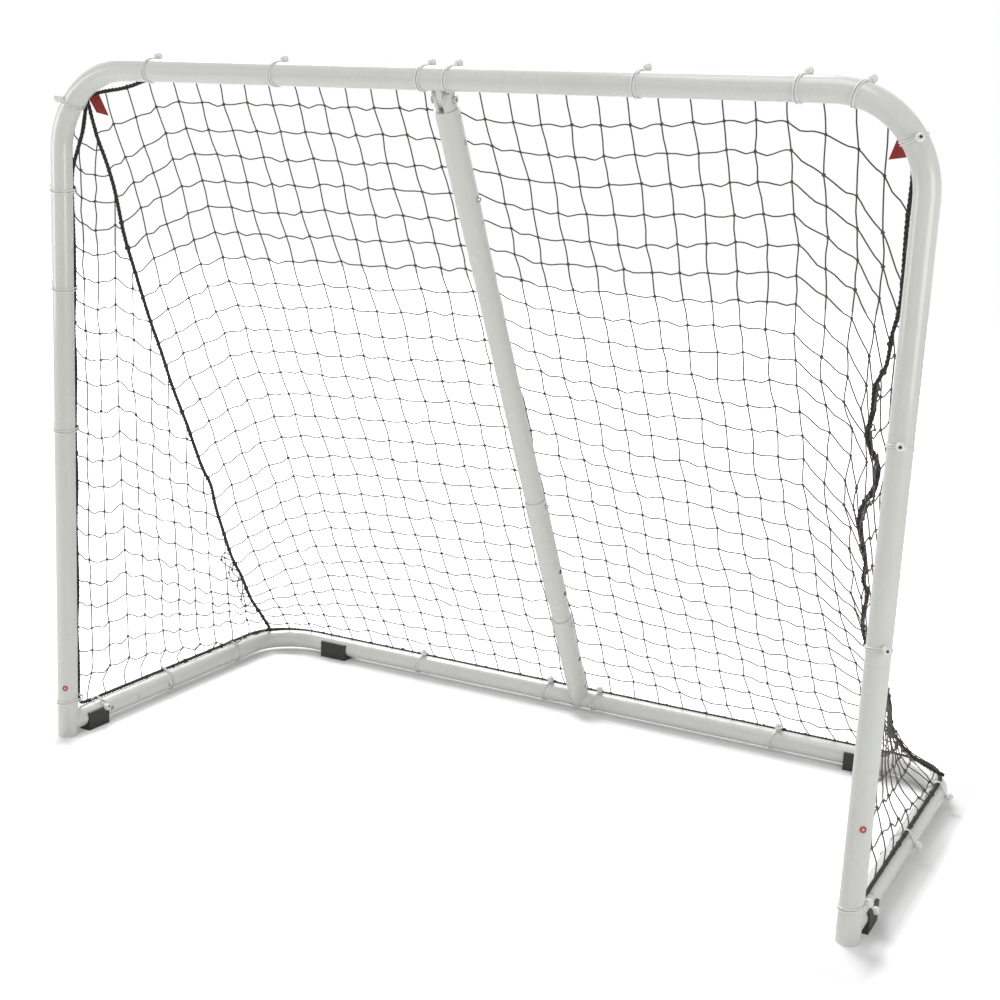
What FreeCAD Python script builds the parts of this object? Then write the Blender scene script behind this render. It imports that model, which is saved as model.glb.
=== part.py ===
import FreeCAD, Part
import math
import os
from FreeCAD import Placement, Rotation, Vector

# A folding steel goal for street hockey: two posts and a crossbar in front, a U on the
# floor behind, a telescopic brace down the middle, and a net held on by ball bungees.
# Millimetres. +Z is up, -Y is the mouth of the goal, and the origin lies on the floor
# under the middle of the whole goal.

os.makedirs("parts", exist_ok=True)
doc = FreeCAD.newDocument("hockey_goal")

# ---------------------------------------------------------------- driving dimensions

SIZES = [
    ("post_spacing", 1338.0, "centre to centre of the posts"),
    ("bar_height", 1088.0, "centre of the crossbar above the floor"),
    ("goal_depth", 619.0, "posts' centres to the rear bar's centre"),
    ("mouth_y", -307.04, "plane of the posts' centres"),
    ("base_height", 22.0, "centre of the floor tubes"),
    ("tube_radius", 16.7, "outside radius of the frame tube"),
    ("tube_wall", 1.6, "wall of every frame tube"),
    ("fit_gap", 0.2, "radial play of a tube pushed into another"),
    ("corner_bend", 125.0, "bend of the two upper corners, on the centre line"),
    ("rear_bend", 90.0, "bend of the two rear corners, on the centre line"),
    ("post_seam", 775.0, "height where the posts meet the corner tubes"),
    ("bar_seam", -137.0, "x where crossbar and rear bar are joined"),
    ("insert_length", 60.0, "reach of a reduced tube end into its neighbour"),
    ("hinge_y", 93.0, "hinge bolts behind the posts' centres"),
    ("sleeve_start", 83.0, "front rim of the side tubes behind the posts' centres"),
    ("knuckle_end", 282.0, "rear end of the hinge knuckles behind the posts' centres"),
    ("side_hole", 162.0, "second lock hole of the side tubes"),
    ("side_button", 251.0, "snap button of the side tubes"),
    ("tongue_half", 4.0, "half the thickness of the hinge tongues"),
    ("tongue_round", 12.0, "radius of the tongues' ends"),
    ("bolt_radius", 4.0, "hinge bolts and the brace pin"),
    ("button_radius", 4.0, "snap buttons"),
    ("button_rise", 4.0, "how far a snap button stands out of its tube"),
    ("pivot_drop", 31.0, "brace pivot below the crossbar's centre, along the brace"),
    ("pin_rise", 38.0, "brace pin above the rear bar's centre, along the brace"),
    ("head_radius", 17.8, "widened top of the brace"),
    ("head_bore", 16.1, "bore of the widened top"),
    ("knuckle_radius", 15.9, "brace knuckle, inside the widened top"),
    ("sleeve_radius", 18.4, "middle and lower tubes of the brace"),
    ("sleeve_bore", 16.9, "bore of the middle and lower tubes"),
    ("head_rim", 13.0, "start of the widened top, from the pivot"),
    ("head_taper", 168.0, "start of the taper under the widened top"),
    ("head_end", 228.0, "end of that taper"),
    ("head_hole", 64.0, "open hole in the widened top"),
    ("head_button", 155.0, "snap button of the widened top"),
    ("middle_rim", 719.0, "upper rim of the middle tube"),
    ("middle_button", 733.0, "snap button of the middle tube"),
    ("middle_taper", 945.0, "start of the middle tube's reduced end"),
    ("taper_length", 14.0, "length of that reduction"),
    ("lower_rim", 993.0, "upper rim of the lower tube"),
    ("lower_button", 1008.0, "snap button of the lower tube"),
    ("lower_hole", 1096.0, "open hole in the lower tube"),
    ("first_stop", 148.0, "first shorter setting of the brace"),
    ("second_stop", 199.0, "shortest setting of the brace"),
    ("foot_half", 19.0, "half the width of the rubber feet"),
    ("foot_top", 31.0, "height of the rubber feet"),
    ("foot_length", 50.0, "length of the rubber feet"),
    ("rope_radius", 3.0, "border ropes of the net"),
    ("cord_width", 4.6, "double cord of a bungee, along its tube"),
    ("cord_thick", 2.4, "thickness of a bungee's cord"),
    ("ball_radius", 6.8, "bungee balls"),
    ("ring_sides", 12.0, "flat sides of a bungee's cord round its tube"),
    ("ball_sides", 8.0, "flat sides round a bungee ball"),
    ("rope_sides", 6.0, "flat sides of the ropes"),
    ("twine", 3.0, "width of the strands between the gaps of the net"),
    ("net_half", 1.0, "half the thickness of the net"),
    ("back_columns", 18.0, "gaps across the back of the net"),
    ("back_rows", 16.0, "gaps up the back of the net"),
    ("side_columns", 8.0, "gaps along the bottom of a side of the net"),
    ("side_rows", 13.0, "gaps up a side of the net at the post"),
]

sheet = doc.addObject("Spreadsheet::Sheet", "Sizes")
for row, (alias, value, note) in enumerate(SIZES, start=1):
    sheet.set(f"A{row}", alias)
    sheet.set(f"B{row}", str(value))
    sheet.set(f"C{row}", note)
    sheet.setAlias(f"B{row}", alias)
doc.recompute()


def size(alias):
    return float(sheet.get(alias))


# ---------------------------------------------------------------- small tools

TURN = {
    "x": Rotation(Vector(0, 1, 0), 90),
    "y": Rotation(Vector(1, 0, 0), -90),
    "z": Rotation(),
}
nodes = []


def bind(item, where):
    """Ties properties of an object to expressions on the sheet's aliases."""
    for prop, formula in where.items():
        item.setExpression(prop, formula)
    return item


def place(item, x, y, z, rotation=None):
    """Sets the object's place from three formulas, and its turn."""
    item.Placement = Placement(Vector(), rotation or Rotation())
    for axis, formula in zip("xyz", (x, y, z)):
        item.setExpression(f"Placement.Base.{axis}", formula)
    return item


def rod(name, radius, length, x, y, z, along="z"):
    item = doc.addObject("Part::Cylinder", name)
    bind(item, {"Radius": radius, "Height": length})
    return place(item, x, y, z, TURN[along])


def block(name, width, depth, height, x, y, z):
    item = doc.addObject("Part::Box", name)
    bind(item, {"Length": width, "Width": depth, "Height": height})
    return place(item, x, y, z)


def cone(name, start, end, length, x, y, z):
    item = doc.addObject("Part::Cone", name)
    bind(item, {"Radius1": start, "Radius2": end, "Height": length})
    return place(item, x, y, z)


def bend(name, radius, thick, x, y, z, rotation):
    """A quarter of a ring, from its own +X to its own +Y."""
    item = doc.addObject("Part::Torus", name)
    bind(item, {"Radius1": radius, "Radius2": thick})
    item.Angle3 = 90
    return place(item, x, y, z, rotation)


def fuse(name, items):
    item = doc.addObject("Part::MultiFuse", name)
    item.Shapes = items
    item.Refine = True
    return item


def cut(name, base, tools):
    item = doc.addObject("Part::Cut", name)
    item.Base = base
    item.Tool = tools[0] if len(tools) == 1 else fuse(name + "_tools", tools)
    return item


def node(item, label):
    item.Label = label
    nodes.append(item)
    return item


def shape_node(label, shape):
    item = doc.addObject("Part::Feature", label)
    item.Shape = shape
    return node(item, label)


# ---------------------------------------------------------------- shared formulas

S = "Sizes."
BORE = "Sizes.tube_radius - Sizes.tube_wall"
PLUG = "Sizes.tube_radius - Sizes.tube_wall - Sizes.fit_gap"
PLUG_BORE = "Sizes.tube_radius - 2 * Sizes.tube_wall - Sizes.fit_gap"
TAPER = "Sizes.taper_length"
REAR = "Sizes.mouth_y + Sizes.goal_depth"
HINGE = "Sizes.mouth_y + Sizes.hinge_y"
SIDES = (("left", "-", -1), ("right", "", 1))

# The brace lies on the line between the centres of crossbar and rear bar.
fall = size("bar_height") - size("base_height")
span = math.hypot(fall, size("goal_depth"))
lean = math.degrees(math.atan2(size("goal_depth"), fall))
down_y, down_z = size("goal_depth") / span, -fall / span
pivot = Vector(
    0,
    size("mouth_y") + size("pivot_drop") * down_y,
    size("bar_height") + size("pivot_drop") * down_z,
)
bar_along = span - size("pivot_drop")  # rear bar's centre, measured along the brace
pin_along = bar_along - size("pin_rise")
# In the brace's own frame +Z runs down the brace from its pivot and -Y is its back.
brace_turn = Rotation(Vector(1, 0, 0), 180 + lean)
brace_place = Placement(pivot, brace_turn)
CLIMB = 24.8  # degrees by which the rear bar climbs the brace as it leaves its end


def on_brace(item, label):
    item.Placement = brace_place
    return node(item, label)


# ---------------------------------------------------------------- front frame


def posts():
    """The lower posts, each with a reduced upper end inside the corner tube."""
    for side, sign, _ in SIDES:
        x = f"{sign}Sizes.post_spacing / 2"
        at = (x, "Sizes.mouth_y")
        top = "Sizes.post_seam + Sizes.insert_length"
        outer = rod(f"post_{side}_outer", S + "tube_radius", S + "post_seam", *at, "0")
        neck = rod(f"post_{side}_neck", PLUG, top, *at, "0")
        bore = rod(f"post_{side}_bore", PLUG_BORE, top + " + 2", *at, "-1")
        foot = rod(f"post_{side}_foot", BORE, S + "post_seam - 8 + 1", *at, "-1")
        body = fuse(f"post_{side}_body", [outer, neck])
        node(cut(f"post_{side}", body, [bore, foot]), f"post_{side}")


def corner_tubes():
    """Post top, bend and a length of crossbar in one tube. The left one is pushed
    into the right one at the crossbar's seam."""
    drop = "Sizes.bar_height - Sizes.corner_bend - Sizes.post_seam"
    for side, sign, way in SIDES:
        x = f"{sign}Sizes.post_spacing / 2"
        if way < 0:
            run = "Sizes.bar_seam + Sizes.post_spacing / 2 - Sizes.corner_bend"
            start = "Sizes.corner_bend - Sizes.post_spacing / 2"
            turn = Rotation(Vector(1, 0, 0), 90) * Rotation(Vector(0, 0, 1), 90)
        else:
            run = "Sizes.post_spacing / 2 - Sizes.corner_bend - Sizes.bar_seam"
            start = "Sizes.bar_seam"
            turn = Rotation(Vector(1, 0, 0), 90)
        centre = f"{sign}(Sizes.post_spacing / 2 - Sizes.corner_bend)"
        low = "Sizes.bar_height - Sizes.corner_bend"
        skins = []
        for skin, radius in (("outer", S + "tube_radius"), ("bore", BORE)):
            tag = f"corner_{side}_{skin}"
            leg = rod(tag + "_leg", radius, drop, x, S + "mouth_y", S + "post_seam")
            arc = bend(tag + "_bend", S + "corner_bend", radius, centre, S + "mouth_y", low, turn)
            bar = rod(tag + "_bar", radius, run, start, S + "mouth_y", S + "bar_height", "x")
            skins.append(fuse(tag, [leg, arc, bar]))
        tube = cut(f"corner_{side}_tube", skins[0], [skins[1]])
        if way < 0:
            neck = rod(
                "bar_neck", PLUG, S + "insert_length + 10", S + "bar_seam - 10",
                S + "mouth_y", S + "bar_height", "x",
            )
            hollow = rod(
                "bar_neck_bore", PLUG_BORE, S + "insert_length + 12", S + "bar_seam - 11",
                S + "mouth_y", S + "bar_height", "x",
            )
            collar = rod(
                "bar_collar", BORE, "10", S + "bar_seam - 10",
                S + "mouth_y", S + "bar_height", "x",
            )
            whole = fuse("corner_left_whole", [tube, neck, collar])
            tube = cut("corner_left_open", whole, [hollow])
        node(tube, f"corner_tube_{side}")


def post_plugs():
    """Small red ring plugs in the front of the posts near the floor."""
    heights = {"left": "82", "right": "161"}
    for side, sign, _ in SIDES:
        x = f"{sign}Sizes.post_spacing / 2"
        front = "Sizes.mouth_y - Sizes.tube_radius - 0.9"
        plug = rod(f"plug_{side}_disc", "5", "2", x, front, heights[side], "y")
        eye = rod(f"plug_{side}_eye", "1.8", "0.5", x, front + " - 0.1", heights[side], "y")
        skin = rod(f"plug_{side}_skin", S + "tube_radius + 0.02", "200", x, S + "mouth_y", "0")
        node(cut(f"plug_{side}", plug, [eye, skin]), f"post_plug_{side}")


def hinge_stubs():
    """A short tube welded behind each post foot, with the tongue of the hinge."""
    for side, sign, _ in SIDES:
        x = f"{sign}Sizes.post_spacing / 2"
        z = S + "base_height"
        start = "Sizes.mouth_y + 1"
        stub = rod(f"stub_{side}_tube", S + "tube_radius", S + "sleeve_start - 2", x, start, z, "y")
        hollow = rod(
            f"stub_{side}_bore", BORE, "40", x, "Sizes.mouth_y + Sizes.sleeve_start - 10", z, "y"
        )
        post = rod(f"stub_{side}_post", S + "tube_radius + 0.02", "120", x, S + "mouth_y", "-20")
        relief = rod(f"stub_{side}_relief", PLUG + " + 0.8", "30", x, HINGE, z)
        tube = cut(f"stub_{side}_coped", stub, [hollow, post, relief])
        tongue = block(
            f"stub_{side}_tongue", "2 * Sizes.tongue_half", "Sizes.hinge_y - 60",
            "2 * Sizes.tongue_round", f"{x} - Sizes.tongue_half",
            "Sizes.mouth_y + 60", "Sizes.base_height - Sizes.tongue_round",
        )
        tip = rod(
            f"stub_{side}_tip", S + "tongue_round", "2 * Sizes.tongue_half",
            f"{x} - Sizes.tongue_half", HINGE, z, "x",
        )
        hole = rod(
            f"stub_{side}_hole", S + "bolt_radius", "20", f"{x} - 10", HINGE, z, "x"
        )
        whole = fuse(f"stub_{side}_whole", [tube, tongue, tip])
        node(cut(f"stub_{side}", whole, [hole]), f"hinge_stub_{side}")
        bolt = rod(
            f"bolt_{side}", S + "bolt_radius", f"2 * ({PLUG}) - 2",
            f"{x} - ({PLUG}) + 1", HINGE, z, "x",
        )
        node(bolt, f"hinge_bolt_{side}")


def saddle(name, label, width, depth, x, y, tube):
    """A rubber foot: a block with flat sides, cut out for the tube it clips round."""
    pad = block(name + "_pad", width, depth, S + "foot_top", x, y, "0")
    node(cut(name, pad, [tube]), label)


def feet():
    for side, sign, _ in SIDES:
        x = f"{sign}Sizes.post_spacing / 2"
        tube = rod(
            f"foot_{side}_tube", S + "tube_radius + 0.02", "200", x,
            S + "mouth_y", S + "base_height", "y",
        )
        saddle(
            f"foot_{side}", f"front_foot_{side}", "2 * Sizes.foot_half", S + "foot_length",
            f"{x} - Sizes.foot_half", "Sizes.mouth_y + Sizes.sleeve_start - 1 - Sizes.foot_length",
            tube,
        )
        middle = f"{sign}(Sizes.post_spacing / 2 - 142)"
        bar = rod(
            f"rear_foot_{side}_bar", S + "tube_radius + 0.02", "200",
            f"{middle} - 100", REAR, S + "base_height", "x",
        )
        saddle(
            f"rear_foot_{side}", f"rear_foot_{side}", S + "foot_length + 6",
            "2 * Sizes.foot_half", f"{middle} - Sizes.foot_length / 2 - 3",
            f"{REAR} - Sizes.foot_half", bar,
        )


def brace_lug():
    """The tongue under the crossbar that carries the brace, and its bolt."""
    tongue = block(
        "lug_tongue", "2 * Sizes.tongue_half", "2 * Sizes.tongue_round", S + "pivot_drop",
        "-Sizes.tongue_half", "-Sizes.tongue_round", "-Sizes.pivot_drop",
    )
    tip = rod("lug_tip", S + "tongue_round", "2 * Sizes.tongue_half",
              "-Sizes.tongue_half", "0", "0", "x")
    bar = rod("lug_bar", S + "tube_radius + 0.02", "60", "-30", "0", "-Sizes.pivot_drop", "x")
    hole = rod("lug_hole", S + "bolt_radius", "20", "-10", "0", "0", "x")
    on_brace(cut("lug", fuse("lug_whole", [tongue, tip]), [bar, hole]), "brace_lug")
    shank = rod("brace_bolt_shank", S + "bolt_radius", "2 * Sizes.knuckle_radius + 2",
                "-Sizes.knuckle_radius - 1", "0", "0", "x")
    left = rod("brace_bolt_head", "6", "2.4", "-Sizes.knuckle_radius - 2.5", "0", "0", "x")
    right = rod("brace_bolt_nut", "6", "2.4", "Sizes.knuckle_radius + 0.1", "0", "0", "x")
    socket = rod("brace_bolt_socket", "2.6", "2", "Sizes.knuckle_radius + 1.2", "0", "0", "x")
    bolt = cut("brace_bolt", fuse("brace_bolt_whole", [shank, left, right]), [socket])
    on_brace(bolt, "brace_bolt")


# ---------------------------------------------------------------- folding base


def knuckles():
    """The inner tubes that turn on the hinge bolts. A slot takes the tongue."""
    for side, sign, way in SIDES:
        x = f"{sign}Sizes.post_spacing / 2"
        z = S + "base_height"
        start = "Sizes.mouth_y + Sizes.sleeve_start + 1"
        length = "Sizes.knuckle_end - Sizes.sleeve_start - 1"
        outer = rod(f"knuckle_{side}_outer", PLUG, length, x, start, z, "y")
        bore = rod(f"knuckle_{side}_bore", PLUG_BORE, length + " + 2", x, start + " - 1", z, "y")
        slot = block(
            f"knuckle_{side}_slot", "2 * Sizes.tongue_half + 0.8", "24", "60",
            f"{x} - Sizes.tongue_half - 0.4", start + " - 1", z + " - 30",
        )
        hole = rod(
            f"knuckle_{side}_hole", S + "bolt_radius + 0.06", "60", f"{x} - 30", HINGE, z, "x"
        )
        window = rod(
            f"knuckle_{side}_window", S + "button_radius + 0.3", "30",
            x if way < 0 else f"{x} - 30", "Sizes.mouth_y + Sizes.side_button", z, "x",
        )
        node(cut(f"knuckle_{side}", outer, [bore, slot, hole, window]), f"hinge_knuckle_{side}")


def floor_tubes():
    """Side tube, rear corner and a length of rear bar in one tube. The left one is
    pushed into the right one at the rear bar's seam."""
    z = S + "base_height"
    run_y = "Sizes.goal_depth - Sizes.rear_bend - Sizes.sleeve_start"
    for side, sign, way in SIDES:
        x = f"{sign}Sizes.post_spacing / 2"
        centre = f"{sign}(Sizes.post_spacing / 2 - Sizes.rear_bend)"
        if way < 0:
            run = "Sizes.bar_seam + Sizes.post_spacing / 2 - Sizes.rear_bend"
            start = "Sizes.rear_bend - Sizes.post_spacing / 2"
            turn = Rotation(Vector(0, 0, 1), 90)
        else:
            run = "Sizes.post_spacing / 2 - Sizes.rear_bend - Sizes.bar_seam"
            start = "Sizes.bar_seam"
            turn = Rotation()
        skins = []
        for skin, radius in (("outer", S + "tube_radius"), ("bore", BORE)):
            tag = f"floor_{side}_{skin}"
            leg = rod(tag + "_leg", radius, run_y, x, "Sizes.mouth_y + Sizes.sleeve_start", z, "y")
            arc = bend(
                tag + "_bend", S + "rear_bend", radius, centre, f"{REAR} - Sizes.rear_bend", z, turn
            )
            bar = rod(tag + "_bar", radius, run, start, REAR, z, "x")
            skins.append(fuse(tag, [leg, arc, bar]))
        tube = cut(f"floor_{side}_tube", skins[0], [skins[1]])
        if way < 0:
            neck = rod("rear_neck", PLUG, S + "insert_length + 10", S + "bar_seam - 10", REAR, z, "x")
            collar = rod("rear_collar", BORE, "10", S + "bar_seam - 10", REAR, z, "x")
            hollow = rod(
                "rear_neck_bore", PLUG_BORE, S + "insert_length + 12", S + "bar_seam - 11", REAR, z, "x"
            )
            tube = cut("floor_left_open", fuse("floor_left_whole", [tube, neck, collar]), [hollow])
        holes = []
        for name, place_y, radius in (
            ("bolt", S + "hinge_y", "4.6"),
            ("lock", S + "side_hole", "4.3"),
            ("button", S + "side_button", "4.3"),
        ):
            middle = f"{x} + Sizes.tube_radius" if way < 0 else f"{x} - Sizes.tube_radius"
            holes.append(rod(
                f"floor_{side}_{name}", radius, "12", f"{middle} - 6",
                f"Sizes.mouth_y + {place_y}", z, "x",
            ))
        node(cut(f"floor_{side}", tube, holes), f"floor_tube_{side}")


def snap_clip(label, bore, rise, turn, at, split=False):
    """A round snap button on a bent leaf spring, inside a tube with this bore. In its
    own frame the button points along +Z and the leaf lies along +Y."""
    radius, width, thick = size("button_radius"), 9.0, 0.9
    wall = math.sqrt(bore ** 2 - (width / 2) ** 2) - 0.2
    foot = wall - 1.5
    button = Part.makeCylinder(radius, rise - foot, Vector(0, 0, foot))
    top = max(button.Edges, key=lambda edge: edge.BoundBox.ZMin)
    button = button.makeChamfer(1.4, [top])
    edge = -width / 2
    outline = [
        Vector(edge, -7, foot), Vector(edge, 5, foot), Vector(edge, 30, -wall + 1.2),
        Vector(edge, 36, -wall + 3.0),
    ]
    lower = [point - Vector(0, 0, thick) for point in reversed(outline)]
    leaf = Part.Face(Part.makePolygon(outline + lower + outline[:1]))
    leaf = leaf.extrude(Vector(width, 0, 0))
    pieces = [(label, button.fuse(leaf))]
    if split:
        pieces = [(label, button), (label.replace("button", "spring"), leaf)]
    for name, shape in pieces:
        shape_node(name, shape).Placement = Placement(at, turn)


def side_clips():
    bore = size("tube_radius") - 2 * size("tube_wall") - size("fit_gap")
    for side, _, way in SIDES:
        at = Vector(
            way * size("post_spacing") / 2,
            size("mouth_y") + size("side_button"),
            size("base_height"),
        )
        inward = Rotation(Vector(0, 1, 0), -90 * way)
        rise = size("tube_radius") + size("button_rise")
        snap_clip(f"side_clip_{side}", bore, rise, inward, at)


def brace_clips():
    """The buttons of the brace all point to +X."""
    down = Rotation(Vector(0, 1, 0), Vector(0, 0, 1), Vector(1, 0, 0), "ZXY")
    up = Rotation(Vector(0, -1, 0), Vector(0, 0, -1), Vector(1, 0, 0), "ZXY")
    wall = size("tube_wall")
    for label, along, bore, skin, turn, split in (
        ("head_button", "head_button", size("knuckle_radius") - wall, "head_radius", down, True),
        ("middle_clip", "middle_button", size("tube_radius") - wall, "sleeve_radius", up, False),
        ("lower_button", "lower_button", size("tube_radius") - wall, "sleeve_radius", down, True),
    ):
        local = Placement(Vector(0, 0, size(along)), turn)
        spot = brace_place.multiply(local)
        rise = size(skin) + size("button_rise")
        snap_clip(label, bore, rise, spot.Rotation, spot.Base, split)


def rear_lug():
    """The tongue on the rear bar, and the pin that the brace hooks over."""
    base = f"{bar_along}"
    top = f"{bar_along} - Sizes.pin_rise"
    tongue = block(
        "rear_lug_tongue", "2 * Sizes.tongue_half", "2 * Sizes.tongue_round", S + "pin_rise",
        "-Sizes.tongue_half", "-Sizes.tongue_round", top,
    )
    tip = rod("rear_lug_tip", S + "tongue_round", "2 * Sizes.tongue_half",
              "-Sizes.tongue_half", "0", top, "x")
    bar = rod("rear_lug_bar", S + "tube_radius + 0.02", "60", "-30", "0", base, "x")
    hole = rod("rear_lug_hole", S + "bolt_radius", "20", "-10", "0", top, "x")
    on_brace(cut("rear_lug", fuse("rear_lug_whole", [tongue, tip]), [bar, hole]), "rear_lug")
    pin = rod("pin_rod", S + "bolt_radius", "2 * Sizes.sleeve_radius - 0.6",
              "-Sizes.sleeve_radius + 0.3", "0", "0", "x")
    groove = rod("pin_core", "1.5", "1", "Sizes.sleeve_radius - 1", "0", "0", "x")
    pin = cut("brace_pin", pin, [groove])
    pin.Placement = brace_place.multiply(Placement(Vector(0, 0, pin_along), Rotation()))
    node(pin, "brace_pin")


# ---------------------------------------------------------------- brace


def brace_knuckle():
    """Turns on the bolt under the crossbar, with a slot for the tongue."""
    start, reach = "-13.4", "13.4 + Sizes.head_button + 12"
    outer = rod("bk_outer", S + "knuckle_radius", reach, "0", "0", start)
    bore = rod("bk_bore", S + "knuckle_radius - Sizes.tube_wall", "Sizes.head_button + 20",
               "0", "0", "16")
    slot = block("bk_slot", "2 * Sizes.tongue_half + 0.8", "60", "27",
                 "-Sizes.tongue_half - 0.4", "-30", start)
    hole = rod("bk_hole", S + "bolt_radius + 0.06", "60", "-30", "0", "0", "x")
    window = rod("bk_window", S + "button_radius + 0.3", "30", "0", "0", S + "head_button", "x")
    square = block("bk_square", "60", "60", "20", "-30", "-30", "-20")
    round_end = rod("bk_round", "13.4", "60", "-30", "0", "0", "x")
    corner = cut("bk_corner", square, [round_end])
    on_brace(cut("bk", outer, [bore, slot, hole, window, corner]), "brace_knuckle")


def brace_upper():
    """Widened over the knuckle, then tapered, then pushed into the middle tube."""
    r = {"outer": (S + "head_radius", S + "tube_radius"), "bore": (S + "head_bore", BORE)}
    skins = []
    for skin, (wide, slim) in r.items():
        tag = "bu_" + skin
        head = rod(tag + "_head", wide, "Sizes.head_taper - Sizes.head_rim", "0", "0", S + "head_rim")
        taper = cone(tag + "_taper", wide, slim, "Sizes.head_end - Sizes.head_taper",
                     "0", "0", S + "head_taper")
        tail = rod(tag + "_tail", slim, "Sizes.middle_button + 12 - Sizes.head_end",
                   "0", "0", S + "head_end")
        skins.append(fuse(tag, [head, taper, tail]))
    holes = []
    for name, at, start in (
        ("lock", S + "head_hole", "0"),
        ("button", S + "head_button", "0"),
        ("slide", S + "middle_button", "0"),
    ):
        holes.append(rod("bu_" + name, S + "button_radius + 0.3", "30", start, "0", at, "x"))
    on_brace(cut("bu", skins[0], [skins[1]] + holes), "brace_upper")


def brace_middle():
    """Takes the upper tube in its top, and its reduced end goes into the lower one."""
    wide, slim = S + "sleeve_radius", S + "tube_radius"
    body = rod("bm_body", wide, "Sizes.middle_taper - Sizes.middle_rim", "0", "0", S + "middle_rim")
    taper = cone("bm_taper", wide, slim, TAPER, "0", "0", S + "middle_taper")
    tail = rod("bm_tail", slim, "Sizes.lower_rim + 54 - Sizes.middle_taper - Sizes.taper_length", "0", "0",
               "Sizes.middle_taper + Sizes.taper_length")
    outer = fuse("bm_outer", [body, taper, tail])
    bore = rod("bm_bore", S + "sleeve_bore", "Sizes.middle_taper - Sizes.middle_rim", "0", "0",
               S + "middle_rim")
    inner_taper = cone("bm_inner_taper", S + "sleeve_bore", BORE, TAPER, "0", "0", S + "middle_taper")
    inner_tail = rod("bm_inner_tail", BORE, "Sizes.lower_rim + 60 - Sizes.middle_taper", "0", "0",
                     "Sizes.middle_taper + Sizes.taper_length")
    holes = [
        rod("bm_hole_0", S + "button_radius + 0.3", "30", "0", "0", S + "middle_button", "x"),
        rod("bm_hole_1", S + "button_radius + 0.3", "30", "0", "0",
            "Sizes.middle_button + Sizes.first_stop", "x"),
        rod("bm_hole_2", S + "button_radius + 0.3", "30", "0", "0",
            "Sizes.middle_button + Sizes.second_stop", "x"),
        rod("bm_hole_3", S + "button_radius + 0.3", "30", "0", "0", S + "lower_button", "x"),
    ]
    hollow = fuse("bm_hollow", [bore, inner_taper, inner_tail])
    on_brace(cut("bm", outer, [hollow] + holes), "brace_middle")


def way_out(name, radius, along):
    """The straight way by which a rod across the brace leaves through its back."""
    half = size(radius.split(".")[1]) + 0.7
    item = doc.addObject("Part::Box", name)
    bind(item, {"Height": f"2 * {radius} + 1.4"})
    item.Length, item.Width = 60, 60
    climb = Placement(Vector(0, 0, along), Rotation(Vector(1, 0, 0), CLIMB))
    item.Placement = climb.multiply(Placement(Vector(-30, -60, -half), Rotation()))
    return item


def brace_lower():
    """The lowest tube. Its end is open at the back, so that the brace lifts off the
    rear bar, its tongue and its pin."""
    end = f"{bar_along + 8}"
    outer = rod("bl_outer", S + "sleeve_radius", f"{end} - Sizes.lower_rim", "0", "0", S + "lower_rim")
    bore = rod("bl_bore", S + "sleeve_bore", f"{end} - Sizes.lower_rim + 2", "0", "0",
               "Sizes.lower_rim - 1")
    holes = [
        rod("bl_button", S + "button_radius + 0.3", "30", "0", "0", S + "lower_button", "x"),
        rod("bl_hole", S + "button_radius + 0.3", "30", "0", "0", S + "lower_hole", "x"),
    ]
    bar = rod("bl_bar", S + "tube_radius + 0.7", "60", "-30", "0", f"{bar_along}", "x")
    pin = rod("bl_pin", S + "bolt_radius + 0.7", "60", "-30", "0", f"{pin_along}", "x")
    tongue_way = block("bl_tongue_way", "2 * Sizes.tongue_half + 1.2", "60", "90",
                       "-Sizes.tongue_half - 0.6", "-60", f"{pin_along} - 28")
    bar_way = way_out("bl_bar_way", S + "tube_radius", bar_along)
    pin_way = way_out("bl_pin_way", S + "bolt_radius", pin_along)
    tools = [bore, bar, bar_way, pin, pin_way, tongue_way] + holes
    on_brace(cut("bl", outer, tools), "brace_lower")


# ---------------------------------------------------------------- ropes and bungees


def section(radius, start, way):
    """The outline of a rope with flat sides, square to its way, and its area."""
    sides = int(size("rope_sides"))
    corners = []
    for step in range(sides):
        turn = 2 * math.pi * step / sides
        corners.append(Vector(radius * math.cos(turn), radius * math.sin(turn), 0))
    outline = Part.makePolygon(corners + corners[:1])
    area = Part.Face(outline).Area
    outline.Placement = Placement(start, Rotation(Vector(0, 0, 1), Vector(way)))
    return outline, area


def corded(points, radius):
    """A round rope along points, with an arc at each corner as large as its runs allow."""
    edges, last = [], points[0]
    for before, corner, after in zip(points, points[1:], points[2:]):
        back, ahead = before - corner, after - corner
        short = 0.45 * min(back.Length, ahead.Length)
        back.normalize()
        ahead.normalize()
        start, end = corner + back * short, corner + ahead * short
        half = back.getAngle(ahead) / 2
        radius_here = short * math.tan(half)
        middle = back + ahead
        middle.normalize()
        apex = corner + middle * (radius_here / math.sin(half) - radius_here)
        edges.append(Part.LineSegment(last, start).toShape())
        edges.append(Part.Arc(start, apex, end).toShape())
        last = end
    edges.append(Part.LineSegment(last, points[-1]).toShape())
    path = Part.Wire(edges)
    first = points[1] - points[0]
    ring, area = section(radius, points[0], first)
    solid = path.makePipeShell([ring], True, False)
    expected = area * path.Length
    if abs(solid.Volume - expected) > 0.01 * expected:
        raise RuntimeError("rope volume differs from its section times its length")
    return solid


def mirrored(points):
    return points + [Vector(-p.x, p.y, p.z) for p in reversed(points)]


# Where bungees hold the net: x on the two bars, height on the posts, and distance
# behind the posts on the side tubes.
BAR_LOOPS = (-492, -265, -23, 19, 293, 505)
REAR_LOOPS = (-335, -64, 35, 373)
POST_LOOPS = {"left": (905, 752, 525), "right": (664, 404)}
SIDE_LOOPS = {"left": (266, 470), "right": (300, 480)}

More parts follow.
